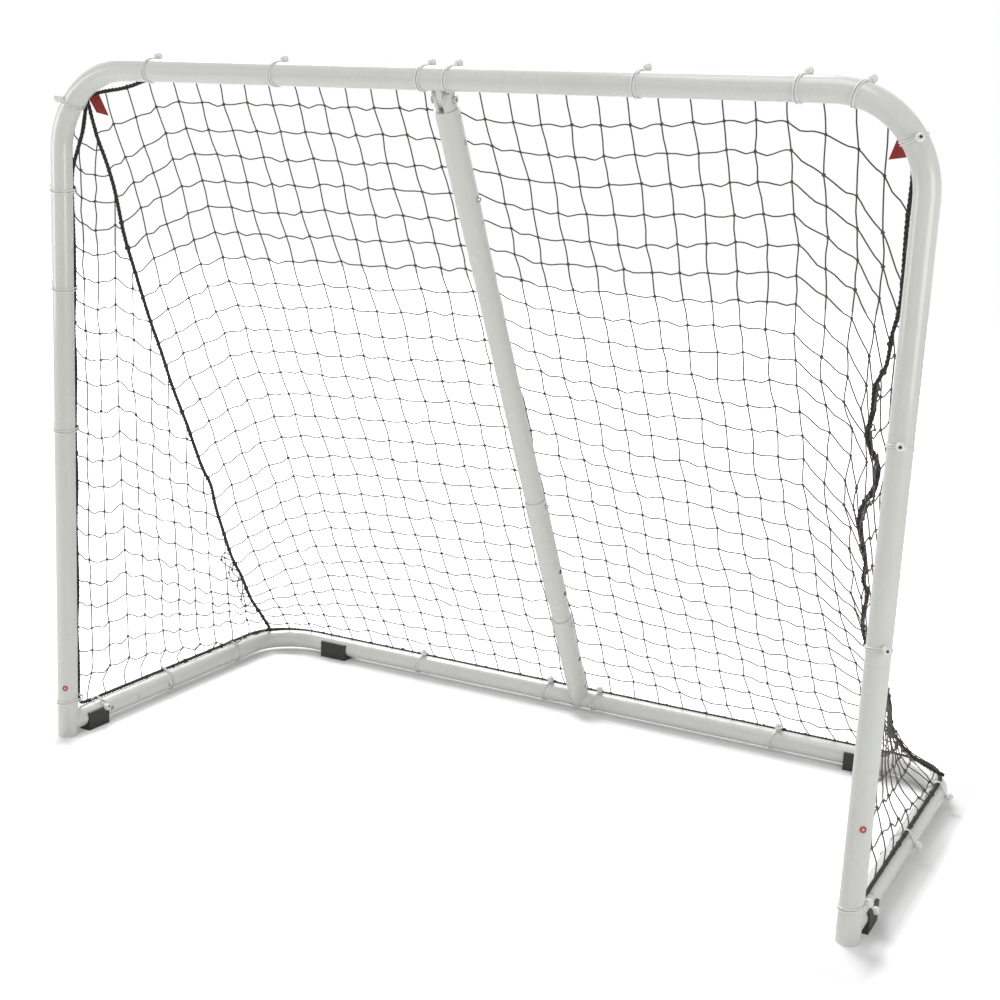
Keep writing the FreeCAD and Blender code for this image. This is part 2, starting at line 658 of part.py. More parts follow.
# The seam between the back and a side hangs inwards and forwards from its two ends:
# distance from the goal's middle, distance behind the posts, and height.
SEAM = (
    (623, 32, 1044), (629, 46, 940), (619, 79, 824), (604, 122, 695), (586, 168, 585),
    (581, 225, 470), (584, 300, 336), (602, 392, 208), (622, 476, 120), (654, 570, 46),
)

half_width = size("post_spacing") / 2
mouth = size("mouth_y")
rear = mouth + size("goal_depth")
tube = size("tube_radius")
rope = size("rope_radius")
off = tube + rope + 0.1  # a rope's centre beside a tube, measured from the tube's centre
back_y, back_z = off * -down_z, off * down_y  # square to the brace, towards its back
ROPE_SIDE = math.radians(40)  # how far the floor rope lies above the outer side of its tube
over_out, over_up = off * math.cos(ROPE_SIDE), off * math.sin(ROPE_SIDE)


def net_point(x, along):
    """A point of the back of the net: along is measured down from the crossbar."""
    return Vector(
        x,
        mouth + along * down_y + back_y,
        size("bar_height") + along * down_z + back_z,
    )


def ropes():
    inner = (off + 0.6) / math.sqrt(2)
    corner = size("corner_bend")
    bar = size("bar_height")
    leg = -half_width + inner
    front = [
        Vector(leg, mouth + inner, 46),
        Vector(leg, mouth + inner, bar - corner - 58),
        Vector(-half_width + 5, mouth + off + 1.2, bar - corner),
        Vector(-half_width + 5, mouth + off + 1.2, bar - 0.6 * corner),
        Vector(-half_width + 0.6 * corner, mouth + off + 1.2, bar),
        Vector(-half_width + 1.3 * corner, mouth + off, bar),
    ]
    shape_node("rope_front", corded(mirrored(front), rope))
    shape_node("rope_base", floor_rope())
    for side, _, way in SIDES:
        seam = [Vector(way * x, mouth + y, z) for x, y, z in SEAM]
        shape_node(f"seam_rope_{side}", corded(seam, rope))


def floor_rope():
    """The rope over the side tubes and the rear bar, with the same centres of bend."""
    z = size("base_height") + over_up
    out = half_width + over_out
    turn = size("rear_bend") + over_out
    start = mouth + size("side_hole") - 18
    corner = rear + over_out - turn
    diagonal = turn * math.sqrt(0.5)
    edges = []
    for way in (-1, 1):
        side = Part.LineSegment(Vector(way * out, start, z), Vector(way * out, corner, z))
        arc = Part.Arc(
            Vector(way * out, corner, z),
            Vector(way * (out - turn + diagonal), corner + diagonal, z),
            Vector(way * (out - turn), corner + turn, z),
        )
        edges += [side.toShape(), arc.toShape()]
    across = Part.LineSegment(
        Vector(turn - out, corner + turn, z), Vector(out - turn, corner + turn, z)
    )
    path = Part.Wire(Part.__sortEdges__(edges + [across.toShape()]))
    ring, _ = section(rope, Vector(-out, start, z), Vector(0, 1, 0))
    return path.makePipeShell([ring], True, False)


def polygon(radius, sides, z=0.0):
    """A regular polygon whose flat sides, not its corners, lie at the radius."""
    reach = radius / math.cos(math.pi / sides)
    turns = [2 * math.pi * (step + 0.5) / sides for step in range(sides)]
    corners = [Vector(reach * math.cos(t), reach * math.sin(t), z) for t in turns]
    return Part.Wire(Part.makePolygon(corners + corners[:1]))


def faceted_ball(radius, sides):
    """Flat facets between rings of corners from pole to pole, and a flat at each pole."""
    rows = sides // 2 + 1
    rings = []
    for row in range(rows):
        angle = math.radians(-66 + 132 * row / (rows - 1))
        rings.append(polygon(radius * math.cos(angle), sides, radius * math.sin(angle)))
    faces = [Part.Face(rings[0]), Part.Face(rings[-1])]
    for low, high in zip(rings, rings[1:]):
        low, high = ([vertex.Point for vertex in ring.OrderedVertexes] for ring in (low, high))
        for step in range(sides):
            onward = (step + 1) % sides
            corners = [low[step], low[onward], high[onward], high[step]]
            faces.append(Part.Face(Part.makePolygon(corners + corners[:1])))
    shell = Part.Shell(faces)
    shell.sewShape()
    ball = Part.Solid(shell)
    if ball.Volume < 0:
        ball.reverse()
    return ball


def bungee(centre, axis, toward, ball_way, play=0.0):
    """A cord round a tube and the rope beside it, with its ball."""
    axis, toward, ball_way = Vector(axis), Vector(toward), Vector(ball_way)
    for item in (axis, toward, ball_way):
        item.normalize()
    width, thick = size("cord_width"), size("cord_thick")
    inside = tube + rope + 0.15 + play
    sides = int(size("ring_sides"))
    rim = [Part.Face(polygon(radius, sides)) for radius in (inside + thick, inside)]
    ring = rim[0].cut(rim[1]).extrude(Vector(0, 0, width))
    start = centre + toward * (rope + 0.1) - axis * (width / 2)
    ring.Placement = Placement(start, Rotation(ball_way, Vector(), axis, "ZXY"))
    ball = faceted_ball(size("ball_radius"), int(size("ball_sides")))
    spot = centre + ball_way * (tube + size("ball_radius") + 0.6)
    ball.Placement = Placement(spot, Rotation(ball_way, Vector(), axis, "ZXY"))
    return ring.fuse(ball)


def group(label, shapes):
    shape_node(label, shapes[0] if len(shapes) == 1 else Part.makeCompound(shapes))


def front_bungees():
    bar = size("bar_height")
    behind = Vector(0, 1, 0)
    top = Vector(0, 0.42, 0.9)
    for index, x in enumerate(BAR_LOOPS, start=1):
        shape = bungee(Vector(x, mouth, bar), (1, 0, 0), behind, top)
        group(f"crossbar_bungee_{index}", [shape])
    corner = size("corner_bend")
    for side, way, angles in (("left", -1, (36,)), ("right", 1, (36, 74))):
        for count, angle in enumerate(angles):
            c, s = math.cos(math.radians(angle)), math.sin(math.radians(angle))
            centre = Vector(
                way * (half_width - corner + corner * c), mouth, bar - corner + corner * s
            )
            if count:
                group("crossbar_bungee_7", [bungee(centre, (way * s, 0, -c), behind, top, 1.9)])
            else:
                ball_way = (-way * 0.1, -1, 0.2) if way > 0 else (way * c, 0.5, s)
                group(f"corner_bungee_{side}", [
                    bungee(centre, (way * s, 0, -c), behind, ball_way, 1.5)])
    for side, _, way in SIDES:
        shapes = []
        for height in POST_LOOPS[side]:
            shapes.append(bungee(
                Vector(way * half_width, mouth, height), (0, 0, 1), (-way, 1, 0), (way, 0.25, 0),
                0.7))
        group(f"post_bungees_{side}", shapes)


def base_bungees():
    z = size("base_height")
    behind = Vector(0, over_out, over_up)
    for index, x in enumerate(REAR_LOOPS, start=1):
        shape = bungee(Vector(x, rear, z), (1, 0, 0), behind, (0, -0.05, 1))
        group(f"rear_bungee_{index}", [shape])
    for side, _, way in SIDES:
        shapes = []
        for place_y in SIDE_LOOPS[side]:
            shapes.append(bungee(
                Vector(way * half_width, mouth + place_y, z), (0, 1, 0),
                (way * over_out, 0, over_up), (way, 0, 0.1)))
        group(f"side_bungees_{side}", shapes)


def corner_tags():
    for side, _, way in SIDES:
        low = Vector(way * (half_width - 82), mouth + off + 7, size("bar_height") - 78)
        tag = Part.makePolygon([
            low, low + Vector(way * 22, 0, 4), low + Vector(way * 36, 0, 34),
            low + Vector(way * 12, 0, 36), low,
        ])
        tag = Part.Face(tag).extrude(Vector(0, 1.2, 0))
        shape_node(f"corner_tag_{side}", tag)


# ---------------------------------------------------------------- net


def holed(outline, rim, columns, rows, notches):
    """One flat face, drawn in x and y, with a grid of gaps inside its rim and notches."""
    strand = size("twine")
    face = Part.Face(Part.makePolygon(outline + outline[:1]))
    field = face.makeOffset2D(-rim, 2)
    box = face.BoundBox
    step_x, step_y = box.XLength / columns, box.YLength / rows
    gaps = []
    for column in range(columns):
        for row in range(rows):
            corner = Vector(box.XMin + column * step_x, box.YMin + row * step_y, 0)
            cell = Part.makePlane(
                step_x - strand, step_y - strand, corner + Vector(strand / 2, strand / 2, 0)
            )
            inside = cell.common(field)
            if inside.Area > 0.06 * cell.Area:
                gaps += inside.Faces
    for low, high in notches:
        gaps.append(Part.makePlane(high.x - low.x, high.y - low.y, low))
    net = face.cut(Part.makeCompound(gaps)).Faces
    net = max(net, key=lambda piece: piece.Area)
    print("gaps", len(net.Wires) - 1)
    return net


def folded(net, panels):
    """Lifts a flat net onto flat panels that meet edge to edge, and thickens it. A panel's
    corners have the net's x and y, and the height above it as z."""
    pieces = []
    for corners in panels:
        a, b, c = corners[:3]
        square = (b - a).cross(c - a)

        def lift(point):
            rise = (square.x * (point.x - a.x) + square.y * (point.y - a.y)) / square.z
            return Vector(point.x, point.y, a.z - rise - size("net_half"))

        ring = [Vector(corner.x, corner.y, 0) for corner in corners]
        panel = net.common(Part.Face(Part.makePolygon(ring + ring[:1])))
        for face in panel.Faces:
            wires = []
            for wire in face.Wires:
                line = [lift(vertex.Point) for vertex in wire.OrderedVertexes]
                wires.append(Part.makePolygon(line + line[:1]))
            raised = Part.makeFace(wires, "Part::FaceMakerBullseye")
            pieces.append(raised.extrude(Vector(0, 0, 2 * size("net_half"))))
    whole = pieces[0].fuse(pieces[1:]).removeSplitter()
    if len(whole.Solids) != 1:
        raise RuntimeError(f"the net has {len(whole.Solids)} pieces")
    return whole.Solids[0]


def grid_panels(lines):
    """Two triangles between each pair of neighbouring points on neighbouring lines."""
    panels = []
    for near, far in zip(lines, lines[1:]):
        for step in range(len(near) - 1):
            panels.append([near[step], far[step], far[step + 1]])
            panels.append([near[step], far[step + 1], near[step + 1]])
    return panels


def back_net():
    """The sloping back, laid out with x across, y down from the crossbar and z to the
    back. Its wings bend forwards to the seams."""
    last = span - 14
    seam = []
    for x, y, z in SEAM:
        down = y * down_y + (z - size("bar_height")) * down_z
        lift = -y * down_z + (z - size("bar_height")) * down_y - off
        seam.append(Vector(x, down, lift))
    edge = [Vector(point.x - 5, point.y) for point in seam[:-1]]
    right = [Vector(half_width - 132, 14.5), Vector(half_width - 69, 42)] + edge
    right += [Vector(638, 1150), Vector(577, 1172), Vector(420, last)]
    outline = right + [Vector(-p.x, p.y, 0) for p in reversed(right)]
    notches = [(Vector(x - 5, 0), Vector(x + 5, 26)) for x in BAR_LOOPS]
    notches += [(Vector(x - 10.5, span - 36), Vector(x + 10.5, span)) for x in REAR_LOOPS]
    net = holed(outline, 4.0, int(size("back_columns")), int(size("back_rows")), notches)
    stations = [seam[0], seam[3], seam[6], seam[9]]
    levels = [0] + [point.y for point in stations[:-1]] + [last + 2]
    heights = [0, -13] + [point.z for point in stations[1:3]] + [-50]
    shares = [0, 0.1, 0.3, 0.3, 0]
    panels = [[Vector(x, y) for x, y in (
        (-200, levels[0]), (200, levels[0]), (200, levels[-1]), (-200, levels[-1]))]]
    for way in (-1, 1):
        flat = [Vector(way * 200, level) for level in levels]
        middle = [
            Vector(way * 420, level, height * share)
            for level, height, share in zip(levels, heights, shares)
        ]
        rim = [Vector(way * 660, level, height) for level, height in zip(levels, heights)]
        panels += grid_panels([flat, middle, rim])
    # x stays across, y goes down the brace's line, and z goes towards its back.
    turn = Rotation(Vector(1, 0, 0), Vector(0, down_y, down_z), Vector(0, -down_z, down_y), "ZXY")
    shape_node("net_back", folded(net, panels)).Placement = Placement(net_point(0, 0), turn)


def side_nets():
    """The upright sides, laid out with x to the rear, y upwards and z to the goal's
    right. They draw in towards the seams."""
    low, top, step = 43.0, 985.0, size("bar_height") - size("corner_bend") - 80
    near, wide = off - 0.5, off + 6
    plane = half_width - 9
    seam = [Vector(y - 5, z) for x, y, z in SEAM[1:-1]]
    outline = [Vector(near, low), Vector(546, low)] + seam[::-1] + [
        Vector(33, top), Vector(wide, top - 12), Vector(wide, step + 20), Vector(near, step),
    ]
    stations = [SEAM[1], SEAM[3], SEAM[6], SEAM[8]]
    levels = [top + 2] + [z for x, y, z in stations] + [low - 2]
    reach = [40] + [y for x, y, z in stations] + [580]
    inwards = [28] + [plane - x for x, y, z in stations] + [0]
    for side, _, way in SIDES:
        notches = [(Vector(10, z - 4), Vector(31, z + 4)) for z in POST_LOOPS[side]]
        notches += [(Vector(y - 4, 30), Vector(y + 4, 53)) for y in SIDE_LOOPS[side]]
        columns, rows = int(size("side_columns")), int(size("side_rows"))
        net = holed(outline, 4.0, columns, rows, notches)
        front = [Vector(10, level, 0) for level in levels]
        back = [
            Vector(far + 4, level, -way * depth)
            for far, level, depth in zip(reach, levels, inwards)
        ]
        turn = Rotation(Vector(0, 1, 0), Vector(0, 0, 1), Vector(1, 0, 0), "ZXY")
        shape = folded(net, grid_panels([front, back]))
        shape_node(f"net_{side}", shape).Placement = Placement(Vector(way * plane, mouth, 0), turn)


# ---------------------------------------------------------------- build and write

for make in (
    posts, corner_tubes, post_plugs, hinge_stubs, feet, brace_lug,
    knuckles, side_clips, floor_tubes, rear_lug,
    brace_knuckle, brace_upper, brace_middle, brace_lower, brace_clips,
    ropes, front_bungees, base_bungees, corner_tags, back_net, side_nets,
):
    make()
doc.recompute()

for item in doc.Objects:
    if "Invalid" in item.State or "Error" in item.State:
        raise RuntimeError(f"{item.Name} is {item.State}")
whole = None
for item in nodes:
    shape = item.Shape
    if shape.isNull() or not shape.isValid() or shape.Volume <= 0:
        raise RuntimeError(f"{item.Label} has no valid solid")
    whole = shape.BoundBox if whole is None else whole.united(shape.BoundBox)
    shape.exportStep(f"parts/{item.Label}.step")
print(len(nodes), "nodes", whole)
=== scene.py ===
import math
import random

import bmesh
import bpy
from mathutils import Matrix, Vector, noise


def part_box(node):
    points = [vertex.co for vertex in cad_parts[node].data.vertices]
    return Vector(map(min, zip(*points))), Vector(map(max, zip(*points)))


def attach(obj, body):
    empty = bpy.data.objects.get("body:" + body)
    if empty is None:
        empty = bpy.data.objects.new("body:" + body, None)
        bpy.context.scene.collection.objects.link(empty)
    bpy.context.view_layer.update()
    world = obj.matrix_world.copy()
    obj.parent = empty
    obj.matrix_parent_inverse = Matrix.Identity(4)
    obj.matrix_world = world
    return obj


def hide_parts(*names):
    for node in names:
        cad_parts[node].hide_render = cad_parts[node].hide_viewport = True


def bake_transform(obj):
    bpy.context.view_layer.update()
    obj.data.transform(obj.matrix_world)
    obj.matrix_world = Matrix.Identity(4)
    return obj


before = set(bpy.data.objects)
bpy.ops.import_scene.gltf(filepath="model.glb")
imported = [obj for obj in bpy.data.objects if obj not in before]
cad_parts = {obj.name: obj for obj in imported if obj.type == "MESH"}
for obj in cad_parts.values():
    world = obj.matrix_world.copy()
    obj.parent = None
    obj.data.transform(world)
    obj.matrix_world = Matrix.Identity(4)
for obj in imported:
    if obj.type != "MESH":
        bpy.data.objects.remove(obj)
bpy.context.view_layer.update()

print("frame loaded")


def middleOf(node):
    low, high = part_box(node)
    return (Vector(low) + Vector(high)) / 2


# the posts' place and size come from the frame
goal = {
    "mouthY": middleOf("post_left").y,      # plane of the posts' centres
    "postX": middleOf("post_right").x,
    "tube": (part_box("post_right")[1][0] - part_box("post_right")[0][0]) / 2,
    "barZ": 1.088,
    "rearY": 0.619,                         # rear bar behind the posts
    "baseZ": 0.022,
    "cornerBend": 0.125,
    "rearBend": 0.090,
    "rope": 0.003,
    "ropeGap": 0.0003,                      # between a rope and the tube that it lies on
}
ropeOff = goal["tube"] + goal["rope"] + goal["ropeGap"]
slopeLength = math.hypot(goal["barZ"] - goal["baseZ"], goal["rearY"])
downY = goal["rearY"] / slopeLength
downZ = -(goal["barZ"] - goal["baseZ"]) / slopeLength


def at(x, y, z):
    # y counts from the posts' centres
    return Vector((x, goal["mouthY"] + y, z))


def alongSlope(y, z):
    return (z - goal["barZ"]) * downZ + y * downY


def slopePoint(s):
    return at(0, s * downY, goal["barZ"] + s * downZ)


def curved(points, cuts):
    # a smooth line through all the given points
    fine = []
    for i in range(len(points) - 1):
        p0 = points[max(i - 1, 0)]
        p1, p2 = points[i], points[i + 1]
        p3 = points[min(i + 2, len(points) - 1)]
        for k in range(cuts):
            t = k / cuts
            fine.append(0.5 * ((2 * p1) + (p2 - p0) * t + (2 * p0 - 5 * p1 + 4 * p2 - p3) * t * t
                               + (3 * p1 - p0 - 3 * p2 + p3) * t ** 3))
    fine.append(points[-1])
    return fine


def smoothLine(points, count):
    return evenLine(curved(points, 12), count)


def evenLine(fine, count):
    reach = [0.0]
    for a, b in zip(fine, fine[1:]):
        reach.append(reach[-1] + (b - a).length)
    out, k = [], 0
    for i in range(count):
        want = reach[-1] * i / (count - 1)
        while k < len(fine) - 2 and reach[k + 1] < want:
            k += 1
        t = (want - reach[k]) / max(reach[k + 1] - reach[k], 1e-9)
        out.append(fine[k].lerp(fine[k + 1], min(max(t, 0), 1)))
    return out


def smoothStep(low, high, value):
    t = min(max((value - low) / (high - low), 0), 1)
    return t * t * (3 - 2 * t)


def addNode(tree, kind, inputs=None, **settings):
    node = tree.nodes.new(kind)
    for name, value in settings.items():
        setattr(node, name, value)
    for name, value in (inputs or {}).items():
        node.inputs[name].default_value = value
    return node


def sizedTree(name, wanted):
    tree = bpy.data.node_groups.new(name, "GeometryNodeTree")
    tree.interface.new_socket("Geometry", in_out="INPUT", socket_type="NodeSocketGeometry")
    for label, kind in wanted:
        tree.interface.new_socket(label, in_out="INPUT", socket_type="NodeSocket" + kind)
    tree.interface.new_socket("Geometry", in_out="OUTPUT", socket_type="NodeSocketGeometry")
    return tree, tree.nodes.new("NodeGroupInput"), tree.nodes.new("NodeGroupOutput")


def lineMesh(name, lines, knots=()):
    # polylines, and loose points marked as knots
    mesh = bpy.data.meshes.new(name)
    points, edges = [], []
    for line in lines:
        first = len(points)
        points += [tuple(p) for p in line]
        edges += [(first + i, first + i + 1) for i in range(len(line) - 1)]
    mesh.from_pydata(points + [tuple(p) for p in knots], edges, [])
    flag = mesh.attributes.new("knot", "FLOAT", "POINT")
    flag.data.foreach_set("value", [0.0] * len(points) + [1.0] * len(knots))
    return mesh


def grown(name, mesh, tree, values):
    # runs a tree on a mesh and keeps only its result
    obj = bpy.data.objects.new(name, mesh)
    bpy.context.scene.collection.objects.link(obj)
    modifier = obj.modifiers.new("grow", "NODES")
    modifier.node_group = tree
    for item in tree.interface.items_tree:
        if item.item_type == "SOCKET" and item.in_out == "INPUT" and item.name in values:
            modifier[item.identifier] = values[item.name]
    bpy.context.view_layer.update()
    graph = bpy.context.evaluated_depsgraph_get()
    result = bpy.data.meshes.new_from_object(obj.evaluated_get(graph))
    obj.modifiers.clear()
    obj.data = result
    obj.data.name = name
    return obj


def newMaterial(name, base, roughness, **sockets):
    material = bpy.data.materials.new(name)
    material.use_nodes = True
    shader = material.node_tree.nodes["Principled BSDF"]
    shader.inputs["Base Color"].default_value = (*base, 1)
    shader.inputs["Roughness"].default_value = roughness
    for label, value in sockets.items():
        shader.inputs[label.replace("_", " ")].default_value = value
    return material, material.node_tree, shader


def speckleGroup():
    # mask of fine and broad variation on object coordinates, with its bump
    group = bpy.data.node_groups.new("speckle", "ShaderNodeTree")
    face = group.interface
    for label, kind in (("Scale", "Float"), ("Depth", "Float")):
        face.new_socket(label, in_out="INPUT", socket_type="NodeSocket" + kind)
    face.new_socket("Fine", in_out="OUTPUT", socket_type="NodeSocketFloat")
    face.new_socket("Broad", in_out="OUTPUT", socket_type="NodeSocketFloat")
    face.new_socket("Normal", in_out="OUTPUT", socket_type="NodeSocketVector")
    inside, outside = group.nodes.new("NodeGroupInput"), group.nodes.new("NodeGroupOutput")
    place = group.nodes.new("ShaderNodeTexCoord")
    fine = addNode(group, "ShaderNodeTexNoise", {"Detail": 3.0, "Roughness": 0.55})
    broad = addNode(group, "ShaderNodeTexNoise", {"Scale": 7.0, "Detail": 4.0, "Roughness": 0.6})
    bump = addNode(group, "ShaderNodeBump", {"Strength": 1.0})
    link = group.links.new
    for texture in (fine, broad):
        link(place.outputs["Object"], texture.inputs["Vector"])
    link(inside.outputs["Scale"], fine.inputs["Scale"])
    link(fine.outputs["Fac"], bump.inputs["Height"])
    link(inside.outputs["Depth"], bump.inputs["Distance"])
    link(fine.outputs["Fac"], outside.inputs["Fine"])
    link(broad.outputs["Fac"], outside.inputs["Broad"])
    link(bump.outputs["Normal"], outside.inputs["Normal"])
    return group


speckle = speckleGroup()


def addSpeckle(tree, shader, scale, depth):
    group = addNode(tree, "ShaderNodeGroup", node_tree=speckle)
    group.inputs["Scale"].default_value = scale
    group.inputs["Depth"].default_value = depth
    tree.links.new(group.outputs["Normal"], shader.inputs["Normal"])
    return group


def tinted(tree, mask, low, high, start=0.3, end=0.7):
    ramp = addNode(tree, "ShaderNodeValToRGB")
    ramp.color_ramp.elements[0].position, ramp.color_ramp.elements[1].position = start, end
    ramp.color_ramp.elements[0].color, ramp.color_ramp.elements[1].color = (*low, 1), (*high, 1)
    tree.links.new(mask, ramp.inputs["Fac"])
    return ramp.outputs["Color"]


coat = {
    "color": (0.735, 0.745, 0.705), "grime": (0.705, 0.713, 0.675), "rough": 0.24,
    "clear": 0.5, "clearRough": 0.07,
    "peelScale": 420.0, "peelDepth": 0.00006,
}


def coatMaterial():
    material, tree, shader = newMaterial("powderCoat", coat["color"], coat["rough"],
                                         Coat_Weight=coat["clear"], Coat_Roughness=coat["clearRough"])
    group = addSpeckle(tree, shader, coat["peelScale"], coat["peelDepth"])
    tree.links.new(
        tinted(tree, group.outputs["Broad"], coat["grime"], coat["color"], 0.30, 0.48),
        shader.inputs["Base Color"])
    soft = addNode(tree, "ShaderNodeMapRange", {
        "From Min": 0.3, "From Max": 0.7, "To Min": coat["rough"] + 0.08, "To Max": coat["rough"] - 0.03})
    tree.links.new(group.outputs["Broad"], soft.inputs["Value"])
    tree.links.new(soft.outputs["Result"], shader.inputs["Roughness"])
    return material


def plainMaterial(name, low, high, roughness, scale, depth, **sockets):
    material, tree, shader = newMaterial(name, high, roughness, **sockets)
    group = addSpeckle(tree, shader, scale, depth)
    tree.links.new(tinted(tree, group.outputs["Fine"], low, high), shader.inputs["Base Color"])
    return material


def wovenMaterial(name, low, high, pitch):
    # plain weave: two crossed waves, one over the other
    material, tree, shader = newMaterial(name, high, 0.75)
    place = addNode(tree, "ShaderNodeTexCoord")
    waves = []
    for direction in ("X", "Z"):
        wave = addNode(tree, "ShaderNodeTexWave", {"Scale": math.pi / pitch / 10, "Distortion": 0.6},
                       bands_direction=direction)
        tree.links.new(place.outputs["Object"], wave.inputs["Vector"])
        waves.append(wave.outputs["Fac"])
    both = addNode(tree, "ShaderNodeMath", operation="MULTIPLY")
    tree.links.new(waves[0], both.inputs[0])
    tree.links.new(waves[1], both.inputs[1])
    tree.links.new(tinted(tree, both.outputs[0], low, high, 0.05, 0.6), shader.inputs["Base Color"])
    bump = addNode(tree, "ShaderNodeBump", {"Strength": 0.6, "Distance": 0.0003})
    tree.links.new(both.outputs[0], bump.inputs["Height"])
    tree.links.new(bump.outputs["Normal"], shader.inputs["Normal"])
    return material


def bungeeMaterial():
    # cord and ball, with near-black painted shade at the bottom of the ball's hole, by the piece's own
    # attribute
    material, tree, shader = newMaterial("bungeeWhite", (0.8, 0.8, 0.79), 0.38)
    part = addNode(tree, "ShaderNodeAttribute", attribute_name="paintedHoleShade")
    group = addSpeckle(tree, shader, 900.0, 0.00008)
    pale = tinted(tree, group.outputs["Fine"], (0.80, 0.80, 0.78), (0.90, 0.90, 0.88))
    mix = addNode(tree, "ShaderNodeMix", data_type="RGBA")
    tree.links.new(part.outputs["Fac"], mix.inputs["Factor"])
    tree.links.new(pale, mix.inputs["A"])
    # painted shade: the bottom of the ball's hole is near-black
    mix.inputs["B"].default_value = (0.07, 0.07, 0.07, 1)
    tree.links.new(mix.outputs["Result"], shader.inputs["Base Color"])
    return material


def ringedMaterial():
    # red ring round a pale middle, by the piece's own attribute
    material, tree, shader = newMaterial("ringedPlastic", (0.5, 0.05, 0.045), 0.35)
    part = addNode(tree, "ShaderNodeAttribute", attribute_name="pale")
    group = addSpeckle(tree, shader, 700.0, 0.00006)
    red = tinted(tree, group.outputs["Fine"], (0.42, 0.045, 0.04), (0.60, 0.09, 0.075))
    mix = addNode(tree, "ShaderNodeMix", data_type="RGBA")
    tree.links.new(part.outputs["Fac"], mix.inputs["Factor"])
    tree.links.new(red, mix.inputs["A"])
    mix.inputs["B"].default_value = (0.72, 0.62, 0.58, 1)
    tree.links.new(mix.outputs["Result"], shader.inputs["Base Color"])
    return material


paint = coatMaterial()
rubber = plainMaterial("footRubber", (0.022, 0.022, 0.020), (0.042, 0.042, 0.038), 0.62, 260.0, 0.0002)
steel = plainMaterial("zincSteel", (0.40, 0.40, 0.41), (0.62, 0.62, 0.62), 0.28, 500.0, 0.00004, Metallic=1.0)
springSteel = plainMaterial("springSteel", (0.20, 0.20, 0.21), (0.34, 0.34, 0.34), 0.4, 300.0, 0.00004,
                            Metallic=1.0)
redPlastic = plainMaterial("redPlastic", (0.42, 0.035, 0.03), (0.60, 0.06, 0.05), 0.35, 700.0, 0.00008)
twine = plainMaterial("netTwine", (0.040, 0.033, 0.028), (0.135, 0.115, 0.100), 0.55, 1500.0, 0.0003)
blackRope = plainMaterial("borderRope", (0.009, 0.009, 0.008), (0.038, 0.037, 0.034), 0.7, 1200.0, 0.0004)
redFabric = wovenMaterial("redFabric", (0.33, 0.035, 0.032), (0.58, 0.075, 0.06), 0.0012)
bungeeWhite = bungeeMaterial()
ringedPlastic = ringedMaterial()

for nodeName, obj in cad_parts.items():
    chosen = paint
    if "foot_" in nodeName:
        chosen = rubber
    elif "plug" in nodeName:
        chosen = redPlastic
    elif "spring" in nodeName:
        chosen = springSteel
    elif "button" in nodeName or "clip" in nodeName or "bolt" in nodeName or nodeName == "brace_pin":
        chosen = steel
    obj.data.materials.clear()
    obj.data.materials.append(chosen)
print("materials made")


def apartKnots(tree, inside):
    # knots as loose points in Selection, lines in Inverted
    flag = addNode(tree, "GeometryNodeInputNamedAttribute", {"Name": "knot"}, data_type="FLOAT")
    isKnot = addNode(tree, "FunctionNodeCompare", {"B": 0.5}, data_type="FLOAT", operation="GREATER_THAN")
    apart = addNode(tree, "GeometryNodeSeparateGeometry", domain="POINT")
    tree.links.new(flag.outputs["Attribute"], isKnot.inputs["A"])
    tree.links.new(inside.outputs["Geometry"], apart.inputs["Geometry"])
    tree.links.new(isKnot.outputs["Result"], apart.inputs["Selection"])
    return apart


def withBeads(tree, inside, outside, apart, tube, detail, least, most):
    # a turned bead at each knot, joined to the tubes and given the material
    link = tree.links.new
    bead = addNode(tree, "GeometryNodeMeshIcoSphere", {"Subdivisions": detail})
    link(inside.outputs["Knot Size"], bead.inputs["Radius"])
    turn = addNode(tree, "FunctionNodeRandomValue", {"Max": (6.28, 6.28, 6.28)}, data_type="FLOAT_VECTOR")
    swell = addNode(tree, "FunctionNodeRandomValue", {"Min": least, "Max": most}, data_type="FLOAT_VECTOR")
    spots = tree.nodes.new("GeometryNodeInstanceOnPoints")
    for field in (turn, swell):
        link(inside.outputs["Seed"], field.inputs["Seed"])
    link(apart.outputs["Selection"], spots.inputs["Points"])
    link(bead.outputs["Mesh"], spots.inputs["Instance"])
    link(turn.outputs["Value"], spots.inputs["Rotation"])
    link(swell.outputs["Value"], spots.inputs["Scale"])
    joined = tree.nodes.new("GeometryNodeJoinGeometry")
    smooth = tree.nodes.new("GeometryNodeSetShadeSmooth")
    real = tree.nodes.new("GeometryNodeRealizeInstances")
    finish = tree.nodes.new("GeometryNodeSetMaterial")
    link(spots.outputs["Instances"], joined.inputs["Geometry"])
    link(tube.outputs["Mesh"], joined.inputs["Geometry"])
    link(joined.outputs["Geometry"], smooth.inputs["Geometry"])
    link(smooth.outputs["Geometry"], real.inputs["Geometry"])
    link(real.outputs["Geometry"], finish.inputs["Geometry"])
    link(inside.outputs["Material"], finish.inputs["Material"])
    link(finish.outputs["Geometry"], outside.inputs["Geometry"])


